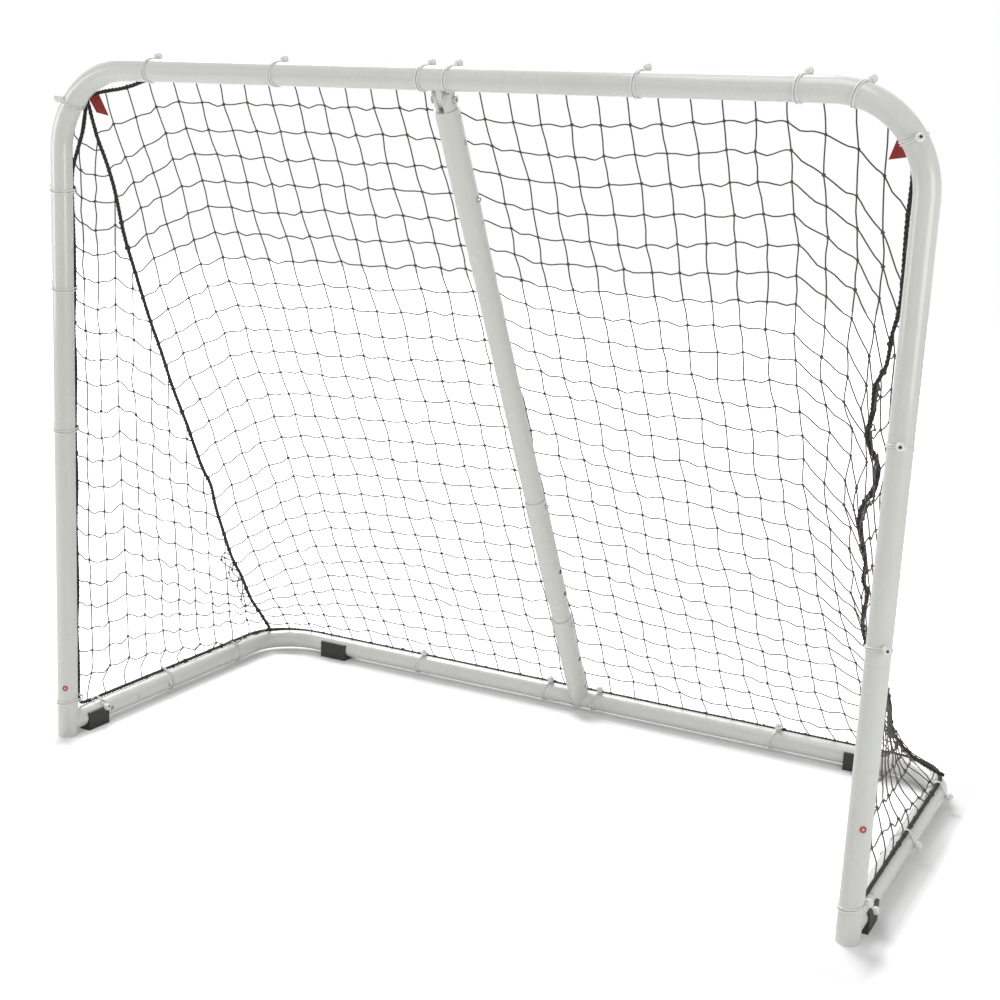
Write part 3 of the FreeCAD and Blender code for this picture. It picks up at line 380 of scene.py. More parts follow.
def knottedTwine():
    tree, inside, outside = sizedTree("knottedTwine", (
        ("Twine Radius", "Float"), ("Sides", "Int"), ("Knot Size", "Float"), ("Seed", "Int"),
        ("Material", "Material")))
    link = tree.links.new
    apart = apartKnots(tree, inside)
    curve = tree.nodes.new("GeometryNodeMeshToCurve")
    ring = tree.nodes.new("GeometryNodeCurvePrimitiveCircle")
    tube = addNode(tree, "GeometryNodeCurveToMesh", {"Fill Caps": True})
    link(apart.outputs["Inverted"], curve.inputs["Mesh"])
    link(inside.outputs["Sides"], ring.inputs["Resolution"])
    link(inside.outputs["Twine Radius"], ring.inputs["Radius"])
    link(curve.outputs["Curve"], tube.inputs["Curve"])
    link(ring.outputs["Curve"], tube.inputs["Profile Curve"])
    withBeads(tree, inside, outside, apart, tube, 1, (0.75, 0.75, 0.9), (1.15, 1.1, 1.3))
    return tree


def laidRope():
    # strands laid round the path, with knots where the net is tied on
    tree, inside, outside = sizedTree("laidRope", (
        ("Strands", "Int"), ("Strand Radius", "Float"), ("Lay Radius", "Float"), ("Pitch", "Float"),
        ("Step", "Float"), ("Looseness", "Float"), ("Knot Size", "Float"), ("Seed", "Int"),
        ("Material", "Material")))
    link = tree.links.new

    def reckoned(operation, a, b=None, constant=None):
        node = addNode(tree, "ShaderNodeMath", operation=operation)
        link(a, node.inputs[0])
        if b is not None:
            link(b, node.inputs[1])
        if constant is not None:
            node.inputs[1].default_value = constant
        return node.outputs[0]

    apart = apartKnots(tree, inside)
    curve = tree.nodes.new("GeometryNodeMeshToCurve")
    steps = addNode(tree, "GeometryNodeResampleCurve", mode="LENGTH")
    copies = addNode(tree, "GeometryNodeDuplicateElements", domain="SPLINE")
    link(apart.outputs["Inverted"], curve.inputs["Mesh"])
    link(curve.outputs["Curve"], steps.inputs["Curve"])
    link(inside.outputs["Step"], steps.inputs["Length"])
    link(steps.outputs["Curve"], copies.inputs["Geometry"])
    link(inside.outputs["Strands"], copies.inputs["Amount"])
    # each strand turns with the length along the path, from its own share of the circle
    reach = tree.nodes.new("GeometryNodeSplineParameter")
    normal = tree.nodes.new("GeometryNodeInputNormal")
    tangent = tree.nodes.new("GeometryNodeInputTangent")
    lay = reckoned("DIVIDE", reach.outputs["Length"], inside.outputs["Pitch"])
    share = reckoned("DIVIDE", copies.outputs["Duplicate Index"], inside.outputs["Strands"])
    angle = reckoned("ADD", reckoned("MULTIPLY", lay, constant=math.tau),
                     reckoned("MULTIPLY", share, constant=math.tau))
    around = addNode(tree, "ShaderNodeVectorRotate", rotation_type="AXIS_ANGLE")
    link(normal.outputs["Normal"], around.inputs["Vector"])
    link(tangent.outputs["Tangent"], around.inputs["Axis"])
    link(angle, around.inputs["Angle"])
    place = tree.nodes.new("GeometryNodeInputPosition")
    wander = addNode(tree, "ShaderNodeTexNoise", {"Scale": 55.0, "Detail": 1.0}, noise_dimensions="4D")
    link(place.outputs["Position"], wander.inputs["Vector"])
    link(copies.outputs["Duplicate Index"], wander.inputs["W"])
    stray = reckoned("MULTIPLY", reckoned("SUBTRACT", wander.outputs["Fac"], constant=0.5),
                     inside.outputs["Looseness"])
    spread = addNode(tree, "ShaderNodeVectorMath", operation="SCALE")
    link(around.outputs["Vector"], spread.inputs["Vector"])
    link(reckoned("ADD", stray, inside.outputs["Lay Radius"]), spread.inputs["Scale"])
    moved = tree.nodes.new("GeometryNodeSetPosition")
    link(copies.outputs["Geometry"], moved.inputs["Geometry"])
    link(spread.outputs["Vector"], moved.inputs["Offset"])
    ring = addNode(tree, "GeometryNodeCurvePrimitiveCircle", {"Resolution": 6})
    link(inside.outputs["Strand Radius"], ring.inputs["Radius"])
    tube = addNode(tree, "GeometryNodeCurveToMesh", {"Fill Caps": True})
    link(moved.outputs["Geometry"], tube.inputs["Curve"])
    link(ring.outputs["Curve"], tube.inputs["Profile Curve"])
    withBeads(tree, inside, outside, apart, tube, 2, (0.6, 0.7, 0.8), (1.0, 1.1, 1.35))
    return tree


def placedBungees():
    # one finished bungee at each point, turned by the point's own attribute
    tree, inside, outside = sizedTree("placedBungees", (("Bungee", "Object"), ("Material", "Material")))
    link = tree.links.new
    shape = addNode(tree, "GeometryNodeObjectInfo", {"As Instance": False})
    turn = addNode(tree, "GeometryNodeInputNamedAttribute", {"Name": "turn"}, data_type="FLOAT_VECTOR")
    spots = tree.nodes.new("GeometryNodeInstanceOnPoints")
    real = tree.nodes.new("GeometryNodeRealizeInstances")
    finish = tree.nodes.new("GeometryNodeSetMaterial")
    link(inside.outputs["Bungee"], shape.inputs["Object"])
    link(inside.outputs["Geometry"], spots.inputs["Points"])
    link(shape.outputs["Geometry"], spots.inputs["Instance"])
    link(turn.outputs["Attribute"], spots.inputs["Rotation"])
    link(spots.outputs["Instances"], real.inputs["Geometry"])
    link(real.outputs["Geometry"], finish.inputs["Geometry"])
    link(inside.outputs["Material"], finish.inputs["Material"])
    link(finish.outputs["Geometry"], outside.inputs["Geometry"])
    return tree


twineTree, ropeTree, bungeeTree = knottedTwine(), laidRope(), placedBungees()


# seams between the back and each side net: x, distance behind the posts, height
seamStations = {
    -1: ((0.641, 0.026, 1.048), (0.630, 0.036, 0.990), (0.618, 0.044, 0.950), (0.611, 0.056, 0.905),
         (0.609, 0.076, 0.835), (0.603, 0.096, 0.775), (0.594, 0.118, 0.705), (0.588, 0.145, 0.640),
         (0.585, 0.168, 0.585), (0.581, 0.203, 0.515), (0.580, 0.242, 0.439), (0.576, 0.264, 0.401),
         (0.584, 0.290, 0.355), (0.591, 0.320, 0.308), (0.603, 0.365, 0.245), (0.607, 0.402, 0.199),
         (0.624, 0.456, 0.141), (0.637, 0.510, 0.093), (0.654, 0.560, 0.054), (0.667, 0.580, 0.043)),
    1: ((0.641, 0.027, 1.040), (0.642, 0.034, 0.985), (0.638, 0.048, 0.930), (0.634, 0.075, 0.838),
        (0.624, 0.090, 0.790), (0.618, 0.103, 0.752), (0.604, 0.114, 0.720), (0.603, 0.124, 0.689),
        (0.594, 0.142, 0.647),
        (0.607, 0.158, 0.609), (0.603, 0.171, 0.580), (0.586, 0.187, 0.546), (0.580, 0.204, 0.512),
        (0.587, 0.234, 0.453), (0.582, 0.249, 0.427), (0.588, 0.262, 0.403), (0.580, 0.284, 0.364),
        (0.579, 0.308, 0.326), (0.592, 0.350, 0.262), (0.607, 0.392, 0.210), (0.605, 0.428, 0.169),
        (0.603, 0.458, 0.139), (0.611, 0.495, 0.106), (0.627, 0.532, 0.074), (0.655, 0.556, 0.051),
        (0.674, 0.560, 0.044)),
}
seams = {way: smoothLine([Vector(p) for p in stations], 361) for way, stations in seamStations.items()}
seamReach = {way: [alongSlope(p.y, p.z) for p in line] for way, line in seams.items()}


def seamAt(way, s):
    # a seam's point at a distance down the slope
    reach, k = seamReach[way], 0
    while k < len(reach) - 2 and reach[k + 1] < s:
        k += 1
    t = (s - reach[k]) / max(reach[k + 1] - reach[k], 1e-6)
    p = seams[way][k].lerp(seams[way][k + 1], min(max(t, 0), 1))
    return at(way * p.x, p.y, p.z)


def seamShare(way, v):
    return seamAt(way, seamReach[way][0] + (seamReach[way][-1] - seamReach[way][0]) * v)


def topEdge():
    # from knot to knot, round the corners and behind the crossbar
    bend, y, z = goal["cornerBend"], ropeOff, goal["barZ"] - 0.003
    halfBar = goal["postX"] - bend
    line = [Vector(p) for p in (
        (-0.641, 0.026, 1.048), (-0.604, y + 0.001, 1.0555), (-0.567, y, 1.0610), (-0.543, y, 1.067),
        (-0.515, y, 1.0755), (-0.470, y, z - 0.002), (-0.30, y, z), (0, y, z), (0.30, y, z),
        (halfBar - 0.05, y, z))]
    inner = bend - 0.004
    for degrees in (90, 72, 56, 44):
        c, s = math.cos(math.radians(degrees)), math.sin(math.radians(degrees))
        line.append(Vector((halfBar + inner * c, y + 0.002, goal["barZ"] - bend + inner * s)))
    line.append(Vector(seamStations[1][0]))
    return [at(*p) for p in smoothLine(line, 601)]


floorRope = {"sideTilt": {-1: 62, 1: 80}, "rearTilt": 40, "start": 0.144}


def floorLine():
    # over the side tubes and the rear bar, from one front foot to the other
    bend, steps = goal["rearBend"], 18
    halves = []
    for way in (-1, 1):
        side, half = floorRope["sideTilt"][way], []
        for k in range(steps + 1):
            turn = math.radians(90 * k / steps)
            tilt = math.radians(side + (floorRope["rearTilt"] - side) * smoothStep(0.15, 1, k / steps))
            out, up = ropeOff * math.cos(tilt), ropeOff * math.sin(tilt)
            half.append(at(way * (goal["postX"] - bend + (bend + out) * math.cos(turn)),
                           goal["rearY"] - bend + (bend + out) * math.sin(turn), goal["baseZ"] + up))
        first = Vector((half[0].x, goal["mouthY"] + floorRope["start"], half[0].z))
        halves.append([first] + half)
    return evenLine(halves[0] + halves[1][::-1], 1201)


topLine, baseLine = topEdge(), floorLine()


def lineBetween(line, start, end, count):
    # the part of a line from the point nearest start to the point nearest end
    first = min(range(len(line)), key=lambda k: (line[k] - start).length)
    last = min(range(len(line)), key=lambda k: (line[k] - end).length)
    return evenLine([start] + line[first + 1:last] + [end], count)


def slackened(a, b, across, wave, droop, rng):
    # two points of a loose strand between its knots
    share = min((b - a).length / 0.043, 1.2)
    sway = wave * rng.uniform(-1.3, 1.3) * share
    hang = droop * rng.uniform(0.3, 1.3) * share
    return [a.lerp(b, 0.32) + across * (hang + sway), a.lerp(b, 0.68) + across * (hang - sway)]


backNet = {
    "columns": 30, "rows": 28, "twineRadius": 0.00105, "knotSize": 0.0027,
    "seamPull": 3.2,          # how far inwards the seams pull the net, as a power
    "sag": 0.016, "wave": 0.0022, "droop": 0.0028, "seed": 11,
    "braceStep": 0.4,         # cells by which the rows step down beside the brace
    "drift": 0.0045, "driftScale": 9, "shake": 0.0018,
    "strandSeed": 21, "sway": 0.0016,
}
# cells that a row drops by, column by column from each seam: high up, then lower down
rowDrops = {
    -1: ((0.6, 0.3, 0.08, -0.08, -0.15, -0.12, -0.06, 0.0), (1.6, 1.15, 0.78, 0.45, 0.22, 0.1, 0.03, 0.0)),
    1: ((2.4, 1.55, 0.85, 0.35, -0.25, -0.2, -0.12, 0.0), (2.2, 1.6, 1.0, 0.45, -0.08, 0.0, 0.0, 0.0)),
}


def dropAt(way, column, v):
    high, low = rowDrops[way]
    column = min(column, len(high) - 1)
    share = smoothStep(0.34, 0.68, v)
    ramp = smoothStep(0.0, 0.07, v) * (1 - smoothStep(0.74, 1.0, v))
    return (high[column] * (1 - share) + low[column] * share) * ramp


def backGrid():
    rows, columns = backNet["rows"], backNet["columns"]
    rng = random.Random(backNet["seed"])
    top = lineBetween(topLine, seamShare(-1, 0), seamShare(1, 0), columns + 1)
    bottom = lineBetween(baseLine, seamShare(-1, 1), seamShare(1, 1), columns + 1)
    square = Vector((0, -downZ, downY))   # towards the back of the net
    grid = []
    for row in range(rows + 1):
        line = []
        for column in range(columns + 1):
            v, u = row / rows, 2 * column / columns - 1
            way = 1 if u > 0 else -1
            if 0 < row < rows:
                v += dropAt(way, columns - column if way > 0 else column, v) / rows
                besideBrace = (smoothStep(0, 0.04, v) * (1 - smoothStep(0.25, 0.55, v))
                               * (1 - smoothStep(0.12, 0.72, u)))
                v += backNet["braceStep"] / rows * smoothStep(0.01, 0.07, top[column].x) * besideBrace
            p = top[column].lerp(bottom[column], v)
            flat = seamShare(way, 0).lerp(seamShare(way, 1), v)
            p = p + (seamShare(way, v) - flat) * abs(u) ** backNet["seamPull"]
            inner = math.sin(math.pi * v) * (1 - u ** 4)
            clear = smoothStep(0.04, 0.22, abs(p.x))
            p = p - square * backNet["sag"] * inner * clear
            if 0 < row < rows and 0 < column < columns:
                low = noise.noise_vector(p * backNet["driftScale"] + Vector((3, 7, 1))) * backNet["drift"]
                p = p + Vector((low.x, 0, low.z)) + square * low.y * clear
                p = p + Vector((rng.uniform(-1, 1), 0, rng.uniform(-1, 1))) * backNet["shake"]
            line.append(p)
        grid.append(line)
    return grid


def backStrands(grid):
    rng = random.Random(backNet["strandSeed"])
    down = Vector((0, downY, downZ))
    lines = []
    for row in grid[1:-1]:
        line = [row[0]]
        for a, b in zip(row, row[1:]):
            line += slackened(a, b, down, backNet["wave"], backNet["droop"], rng) + [b]
        lines.append(curved(line, 2))
    for column in range(1, len(grid[0]) - 1):
        line = [grid[0][column]]
        for above, below in zip(grid, grid[1:]):
            a, b = above[column], below[column]
            line += [a.lerp(b, 0.5) + Vector((rng.uniform(-1, 1), 0, 0)) * backNet["sway"], b]
        lines.append(curved(line, 2))
    knots = [p for row in grid[1:-1] for p in row]
    return lines, knots


postRope = {"inside": math.radians(17), "foot": 0.058}
legIn = ropeOff * math.sin(postRope["inside"])
legBack = ropeOff * math.cos(postRope["inside"])

sideNet = {
    "pitchZ": 0.0425, "lowest": 0.100, "highest": 0.9925, "wave": 0.0028, "droop": 0.0040,
    "lean": 1.95,             # how columns shift back as the net swings outwards
    "fall": 0.34,             # slope of the rows behind their ridge
    "hem": 0.050, "loops": {-1: 5, 1: 24},
    "rowSeed": 40, "strandSeed": 70, "shake": 0.0022, "swell": 0.007,
    "seamGap": 0.018,         # least distance from a row's last column to the seam
}
# columns by their distance behind the post, and how far the rows dip at the first ones
sideColumns = (0.037, 0.084, 0.138) + tuple(0.138 + 0.051 * k for k in range(1, 12))
sideDips = ((0.0, 0.0), (0.041, 0.016), (0.088, 0.022), (0.138, 0.015))


def rowHeight(z, across):
    # height of a side row at a distance behind the post
    slack = smoothStep(0.12, 0.30, z)
    dip = 0.0
    for (y0, d0), (y1, d1) in zip(sideDips, sideDips[1:]):
        if across > y0:
            dip = d0 + (d1 - d0) * min((across - y0) / (y1 - y0), 1)
    dip *= 0.35 + 0.65 * slack
    dip += max(across - sideDips[-1][0], 0) * (0.14 + (sideNet["fall"] - 0.14) * slack)
    return max(z - dip, sideNet["hem"])


def leanOf(x, y):
    return y + (goal["postX"] - legIn - x) * sideNet["lean"] - legBack


def sideRows(way):
    # knots of each row, from the rope behind the post back to the seam
    rng = random.Random(sideNet["rowSeed"] + way)
    seam = [(leanOf(p.x, p.y), p) for p in seams[way]]
    startX, count = goal["postX"] - legIn, round((sideNet["highest"] - sideNet["lowest"]) / sideNet["pitchZ"])
    rows = []
    for r in range(count + 1):
        z = sideNet["highest"] - (sideNet["highest"] - sideNet["lowest"]) * r / count
        reach, end = next(((a, p) for a, p in seam if p.z <= rowHeight(z, a * 0.93)), seam[-1])
        row = [Vector((startX, legBack, z))]
        for c, across in enumerate(sideColumns):
            if across > reach - sideNet["seamGap"]:
                break
            t = across / reach
            p = row[0].lerp(end, t)
            p.z = rowHeight(z, across)
            p.z += (end.z - rowHeight(z, reach)) * t ** 3
            p.x += sideNet["swell"] * math.sin(math.pi * t)
            if c != 2:
                p += Vector((0, rng.uniform(-1, 1), rng.uniform(-1, 1))) * sideNet["shake"]
            row.append(p)
        row.append(end.copy())
        rows.append(row)
    return rows, seam


def sideStrands(way):
    rng = random.Random(sideNet["strandSeed"] + way)
    rows, seam = sideRows(way)
    down = Vector((0, 0, -1))
    lines, knots = [], []

    def placed(points, cuts):
        lines.append(curved([at(way * p.x, p.y, p.z) for p in points], cuts))

    for row in rows:
        line = [row[0]]
        for a, b in zip(row, row[1:]):
            line += slackened(a, b, down, sideNet["wave"], sideNet["droop"], rng) + [b]
        placed(line, 2)
        knots += row[1:-1]
    tilt = math.radians(floorRope["sideTilt"][way])
    floorX, floorZ = goal["postX"] + ropeOff * math.cos(tilt), goal["baseZ"] + ropeOff * math.sin(tilt)
    for c in range(1, len(sideColumns) + 1):
        held = [row[c] for row in rows if len(row) > c + 1]
        if not held:
            continue
        line = [next((p for a, p in seam if a >= sideColumns[c - 1]), held[0] + Vector((0, 0, 0.03)))]
        for a, b in zip(line + held, held):
            sway = 0.0011 if c == 3 else 0.0036
            line += [a.lerp(b, 0.5) + Vector((rng.uniform(-0.4, 0.4), rng.uniform(-1, 1), 0)) * sway, b]
        foot = Vector((floorX, held[-1].y + 0.006 * rng.uniform(0, 1), floorZ))
        line += [held[-1].lerp(foot, 0.5) + Vector((0.004, 0.012 * rng.uniform(-1, 1), 0)), foot]
        placed(line, 2)
        knots.append(foot)
    # loose loops where slack net gathers on the seam
    for k in range(sideNet["loops"][way]):
        index = rng.randint(90, 330)
        p = seams[way][index]
        out = (Vector((goal["postX"] - legIn, legBack, p.z)) - p).normalized()
        size, drop = rng.uniform(0.008, 0.017), Vector((0, 0, rng.uniform(0.004, 0.014)))
        tip = p + out * size * 1.5 - drop * 0.3
        back = seams[way][min(index + rng.randint(6, 14), len(seams[way]) - 1)]
        placed([p, p + out * size + drop, tip, p + out * size * 0.7 - drop * 1.6, back], 3)
        knots.append(tip)
    return lines, [at(way * p.x, p.y, p.z) for p in knots]


# distances down the slope; the middle one is where the pieces are cut into an upper and a lower half
bendFrom, cutAt, bendTo = 0.80, 1.05, 1.222


def split(obj, names):
    # cuts a piece square to the slope into an upper and a lower half
    halves = []
    for name, keepUpper in zip(names, (True, False)):
        mesh = obj.data.copy()
        mesh.name = name
        bm = bmesh.new()
        bm.from_mesh(mesh)
        bmesh.ops.bisect_plane(
            bm, geom=bm.verts[:] + bm.edges[:] + bm.faces[:], plane_co=slopePoint(cutAt),
            plane_no=Vector((0, downY, downZ)), clear_outer=keepUpper, clear_inner=not keepUpper)
        bm.to_mesh(mesh)
        bm.free()
        half = bpy.data.objects.new(name, mesh)
        bpy.context.scene.collection.objects.link(half)
        halves.append(half)
    bpy.data.objects.remove(obj)
    return halves


def bendWithBase(obj, names, slotName, *nodes):
    upper, lower = split(obj, names)
    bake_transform(upper)
    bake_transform(lower)
    for half in (upper, lower):
        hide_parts(*nodes)
    return upper, lower


twineValues = {"Twine Radius": backNet["twineRadius"], "Sides": 5, "Knot Size": backNet["knotSize"],
               "Seed": 3, "Material": twine}
backRows = backGrid()
back = grown("netBack", lineMesh("netBack", *backStrands(backRows)), twineTree, twineValues)
print("back net", len(back.data.polygons), "faces")
bendWithBase(back, ("netBackUpper", "netBackLower"), "net_twine", "net_back")

for side, way in (("Left", -1), ("Right", 1)):
    obj = grown("net" + side, lineMesh("net" + side, *sideStrands(way)), twineTree, twineValues)
    print("side net", len(obj.data.polygons), "faces")
    bendWithBase(obj, (f"net{side}Upper", f"net{side}Lower"), "net_twine", "net_" + side.lower())

ropes = {
    "strands": 3, "strandRadius": 0.00165, "layRadius": 0.0016, "pitch": 0.021, "step": 0.0024,
    "looseness": 0.0008, "knotSize": 0.0042, "bunch": 0.0034, "seed": 5,
    "bunches": {-1: (), 1: ((96, 196), (118, 176))},   # stretches of a seam with a second cord
    "heelBend": (0.050, 0.130),                        # behind the posts
}
ropeValues = {
    "Strands": ropes["strands"], "Strand Radius": ropes["strandRadius"], "Lay Radius": ropes["layRadius"],
    "Pitch": ropes["pitch"], "Step": ropes["step"], "Looseness": ropes["looseness"],
    "Knot Size": ropes["knotSize"], "Seed": ropes["seed"], "Material": blackRope,
}


def legLine(way):
    # from the knot at the corner down behind the post to its foot
    x, y, z = seamStations[way][0]
    straight = goal["barZ"] - goal["cornerBend"]
    points = [Vector((x, y, z)), Vector((0.647, 0.5 * (y + legBack) + 0.002, straight + 0.035)),
              Vector((goal["postX"] - legIn + 0.002, legBack + 0.001, straight - 0.03))]
    for k in range(1, 15):
        height = straight - 0.03 - (straight - 0.03 - postRope["foot"]) * k / 14
        points.append(Vector((goal["postX"] - legIn + 0.0016 * math.sin(k * 2.3 + way), legBack, height)))
    return [at(way * p.x, p.y, p.z) for p in points]


def heelLine(way):
    # from the post's foot over the hinge to the side tube
    tilt = math.radians(floorRope["sideTilt"][way])
    x = goal["postX"] + ropeOff * math.cos(tilt)
    z = goal["baseZ"] + ropeOff * math.sin(tilt)
    foot = Vector((goal["postX"] - legIn, legBack, postRope["foot"]))
    points = [foot + Vector((0.001, 0.001, 0.012)), foot + Vector((0.002, 0.004, 0)),
              Vector((x - 0.004, 0.040, z + 0.004)), Vector((x, 0.066, z)), Vector((x, 0.105, z)),
              Vector((x, floorRope["start"] + 0.004, z))]
    return [at(way * p.x, p.y, p.z) for p in points]


def ropePiece(name, lines, knots, body, node, **changes):
    obj = grown(name, lineMesh(name, lines, knots), ropeTree, {**ropeValues, **changes})
    if body:
        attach(obj, body)
        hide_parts(node)
    return obj


wholeFront = curved(legLine(-1)[::-1], 12)[:-1] + topLine + curved(legLine(1), 12)[1:]
frontTies = backRows[0][1:-1] + [at(way * row[0].x, row[0].y, row[0].z)
                                 for way in (-1, 1) for row in sideRows(way)[0]]
ropePiece("ropeFront", [evenLine(wholeFront, 1401)], frontTies, "front_frame", "rope_front")
ropePiece("ropeBase", [baseLine], evenLine(baseLine, 62)[1:-1], "base_frame", "rope_base")
for side, way in (("Left", -1), ("Right", 1)):
    heel = ropePiece("ropeHeel" + side, [smoothLine(heelLine(way), 61)], [heelLine(way)[1]], None, None)
    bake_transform(heel)
    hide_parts("rope_base")

    lines = [[at(way * p.x, p.y, p.z) for p in seams[way]]]
    rng = random.Random(way + ropes["seed"])
    for first, last in ropes["bunches"][way]:
        aside = [Vector((rng.uniform(-1, 1), rng.uniform(-1, 1), rng.uniform(-1, 1))) * ropes["bunch"]
                 for _ in range(9)]
        aside[0], aside[-1] = aside[0] * 0, aside[-1] * 0
        shifts = smoothLine(aside, last - first + 1)
        lines.append([lines[0][first + k] + shift for k, shift in enumerate(shifts)])
    ties = [row[-1 if way > 0 else 0] for row in backRows[1:-1]]
    # the right seam is the looser of the two
    loose, knot = (0.0022, 0.0046) if way > 0 else (0.0010, 0.0040)
    rope = ropePiece("seamRope" + side, lines, ties, None, None, **{"Looseness": loose, "Knot Size": knot})
    bendWithBase(rope, (f"seamRope{side}Upper", f"seamRope{side}Lower"), "black_rope",
                 "seam_rope_" + side.lower())
print("ropes made")


bungee = {
    "cordRadius": 0.00100, "ballRadius": 0.0060, "holeRadius": 0.0026, "holeDepth": 0.004,
    "slant": 0.0018, "shift": 0.004, "segments": 44, "cordSides": 7, "spread": 0.0012,
}


def bungeeShape(ropeWay):
    # cord round a tube along +Z and the rope beside it, with the ball on its +Y side
    bm = bmesh.new()
    paintedHoleShade = bm.verts.layers.float.new("paintedHoleShade")
    tube, cord, n = goal["tube"], bungee["cordRadius"], bungee["segments"]
    ropeCentre = Vector((math.cos(ropeWay), math.sin(ropeWay), 0)) * ropeOff
    for way in (-1, 1):
        line = []
        for k in range(n):
            angle = math.tau * k / n + math.pi / 2
            d = Vector((math.cos(angle), math.sin(angle), 0))
            onTube = d * (tube + cord)
            onRope = ropeCentre + d * (goal["rope"] + cord + 0.0010)
            p = onTube if onTube.dot(d) > onRope.dot(d) else onRope
            away = (1 - math.sin(angle)) / 2
            line.append(p + Vector((0, 0, way * (cord + bungee["spread"] * away)
                                    + bungee["slant"] * math.cos(angle)
                                    + bungee["shift"] * (1 - 2 * away ** 0.5))))
        rings = []
        for k in range(n):
            ahead = (line[(k + 1) % n] - line[k - 1]).normalized()
            side = ahead.cross(Vector((0, 0, 1))).normalized()
            up = side.cross(ahead)
            rings.append([bm.verts.new(line[k] + (side * math.cos(math.tau * j / bungee["cordSides"])
                          + up * math.sin(math.tau * j / bungee["cordSides"])) * cord)
                          for j in range(bungee["cordSides"])])
        for k in range(n):
            a, b = rings[k], rings[(k + 1) % n]
            for j in range(bungee["cordSides"]):
                bm.faces.new((a[j], a[j - 1], b[j - 1], b[j]))
    # ball: a turned profile from its foot over its outside into its hole
    r, hole, depth = bungee["ballRadius"], bungee["holeRadius"], bungee["holeDepth"]
    centre = tube + r + 0.0004
    profile = [(0.0, -r)]
    edge = math.asin(hole / r)
    for k in range(1, 12):
        angle = math.pi - (math.pi - edge) * k / 11
        profile.append((r * math.sin(angle), r * math.cos(angle)))
    profile += [(hole * 0.86, r - 0.0009), (hole * 0.8, r - depth), (0.0, r - depth)]
    sides, rings = 18, []
    for index, (radius, height) in enumerate(profile):
        turns = [math.tau * j / sides for j in range(sides)] if radius else [0]
        ring = [bm.verts.new((radius * math.cos(a), centre + height, radius * math.sin(a) + bungee["shift"]))
                for a in turns]
        for vert in ring:
            # the last rings, at the bottom of the hole, are marked for painted shade
            vert[paintedHoleShade] = 1.0 if index >= len(profile) - 2 else 0.0
        rings.append(ring)
    stitched(bm, rings, sides)
    return finished(bm, "bungeeShape")


def stitched(bm, rings, sides):
    for a, b in zip(rings, rings[1:]):
        for j in range(sides):
            corners = [a[j - 1], a[j], b[j], b[j - 1]] if len(a) > 1 and len(b) > 1 else (
                [a[0], b[j - 1], b[j]] if len(a) == 1 else [a[j - 1], a[j], b[0]])
            bm.faces.new(corners)


def finished(bm, name, material=None):
    bmesh.ops.recalc_face_normals(bm, faces=bm.faces)
    for f in bm.faces:
        f.smooth = True
    mesh = bpy.data.meshes.new(name)
    bm.to_mesh(mesh)
    bm.free()
    if material:
        mesh.materials.append(material)
    obj = bpy.data.objects.new(name, mesh)
    bpy.context.scene.collection.objects.link(obj)
    return obj


def bungeeSet(name, spots, body, *nodes):
    # spots: centre on the tube, the tube's axis, the way to the rope, the way the ball points
    mesh = bpy.data.meshes.new(name + "Spots")
    mesh.from_pydata([tuple(spot[0]) for spot in spots], [], [])
    turn = mesh.attributes.new("turn", "FLOAT_VECTOR", "POINT")
    values, ropeWay = [], 0
    for _, axis, toRope, ball in spots:
        axis, toRope, ball = Vector(axis).normalized(), Vector(toRope), Vector(ball)
        ball = (ball - axis * ball.dot(axis)).normalized()
        across = ball.cross(axis)
        ropeWay = math.atan2(toRope.dot(ball), toRope.dot(across))
        values += list(Matrix((across, ball, axis)).transposed().to_euler())
    turn.data.foreach_set("vector", values)
    pattern = bungeeShape(ropeWay)
    obj = grown(name, mesh, bungeeTree, {"Bungee": pattern, "Material": bungeeWhite})
    bpy.data.objects.remove(pattern)
    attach(obj, body)
    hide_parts(*nodes)


barZ, baseZ, postX = goal["barZ"], goal["baseZ"], goal["postX"]
behind, ballTop = (0, 1, -0.12), (0, 0.42, 0.9)
barSpots = []
for index in range(1, 7):
    x = middleOf(f"crossbar_bungee_{index}").x
    barSpots.append((at(x, 0, barZ), (1, 0, 0), behind, ballTop))
bend = goal["cornerBend"]


def cornerSpot(way, degrees, ball):
    c, s = math.cos(math.radians(degrees)), math.sin(math.radians(degrees))
    return (at(way * (postX - bend + bend * c), 0, barZ - bend + bend * s), (way * s, 0, -c), behind, ball)


barSpots.append(cornerSpot(1, 74, ballTop))
bungeeSet("barBungees", barSpots, "front_frame", *[f"crossbar_bungee_{k}" for k in range(1, 8)])
bungeeSet("cornerBungeeLeft", [cornerSpot(-1, 36, (-0.514, -0.785, 0.347))], "front_frame",
          "corner_bungee_left")
bungeeSet("cornerBungeeRight", [cornerSpot(1, 34, (0.36, -0.90, 0.25))], "front_frame",
          "corner_bungee_right")
legWay = Vector((math.sin(postRope["inside"]), math.cos(postRope["inside"]), 0))
toLeg = {way: Vector((-way * legWay.x, legWay.y, 0)) for way in (-1, 1)}
leftSpots = [(at(-postX, 0, z), (0, 0, 1), toLeg[-1], (-1, 0.25, 0)) for z in (0.905, 0.752, 0.525)]
bungeeSet("postBungeesLeft", leftSpots, "front_frame", "post_bungees_left")
bungeeSet("footBungeesLeft", [(at(-postX, 0, 0.064), (0, 0, 1), toLeg[-1], (-0.3, 1, 0)),
                              (at(-postX, 0.070, baseZ), (0, 1, 0), (0, 0, 1), (0.92, 0, 0.38))],
          "front_frame", "post_bungees_left")
bungeeSet("postBungeeRight", [(at(postX, 0, 0.665), (0, 0, 1), toLeg[1], (0.21, -0.98, 0))],
          "front_frame", "post_bungees_right")
bungeeSet("postBungeeRightLow", [(at(postX, 0, 0.406), (0, 0, 1), toLeg[1], (0.58, -0.81, 0))],
          "front_frame", "post_bungees_right")
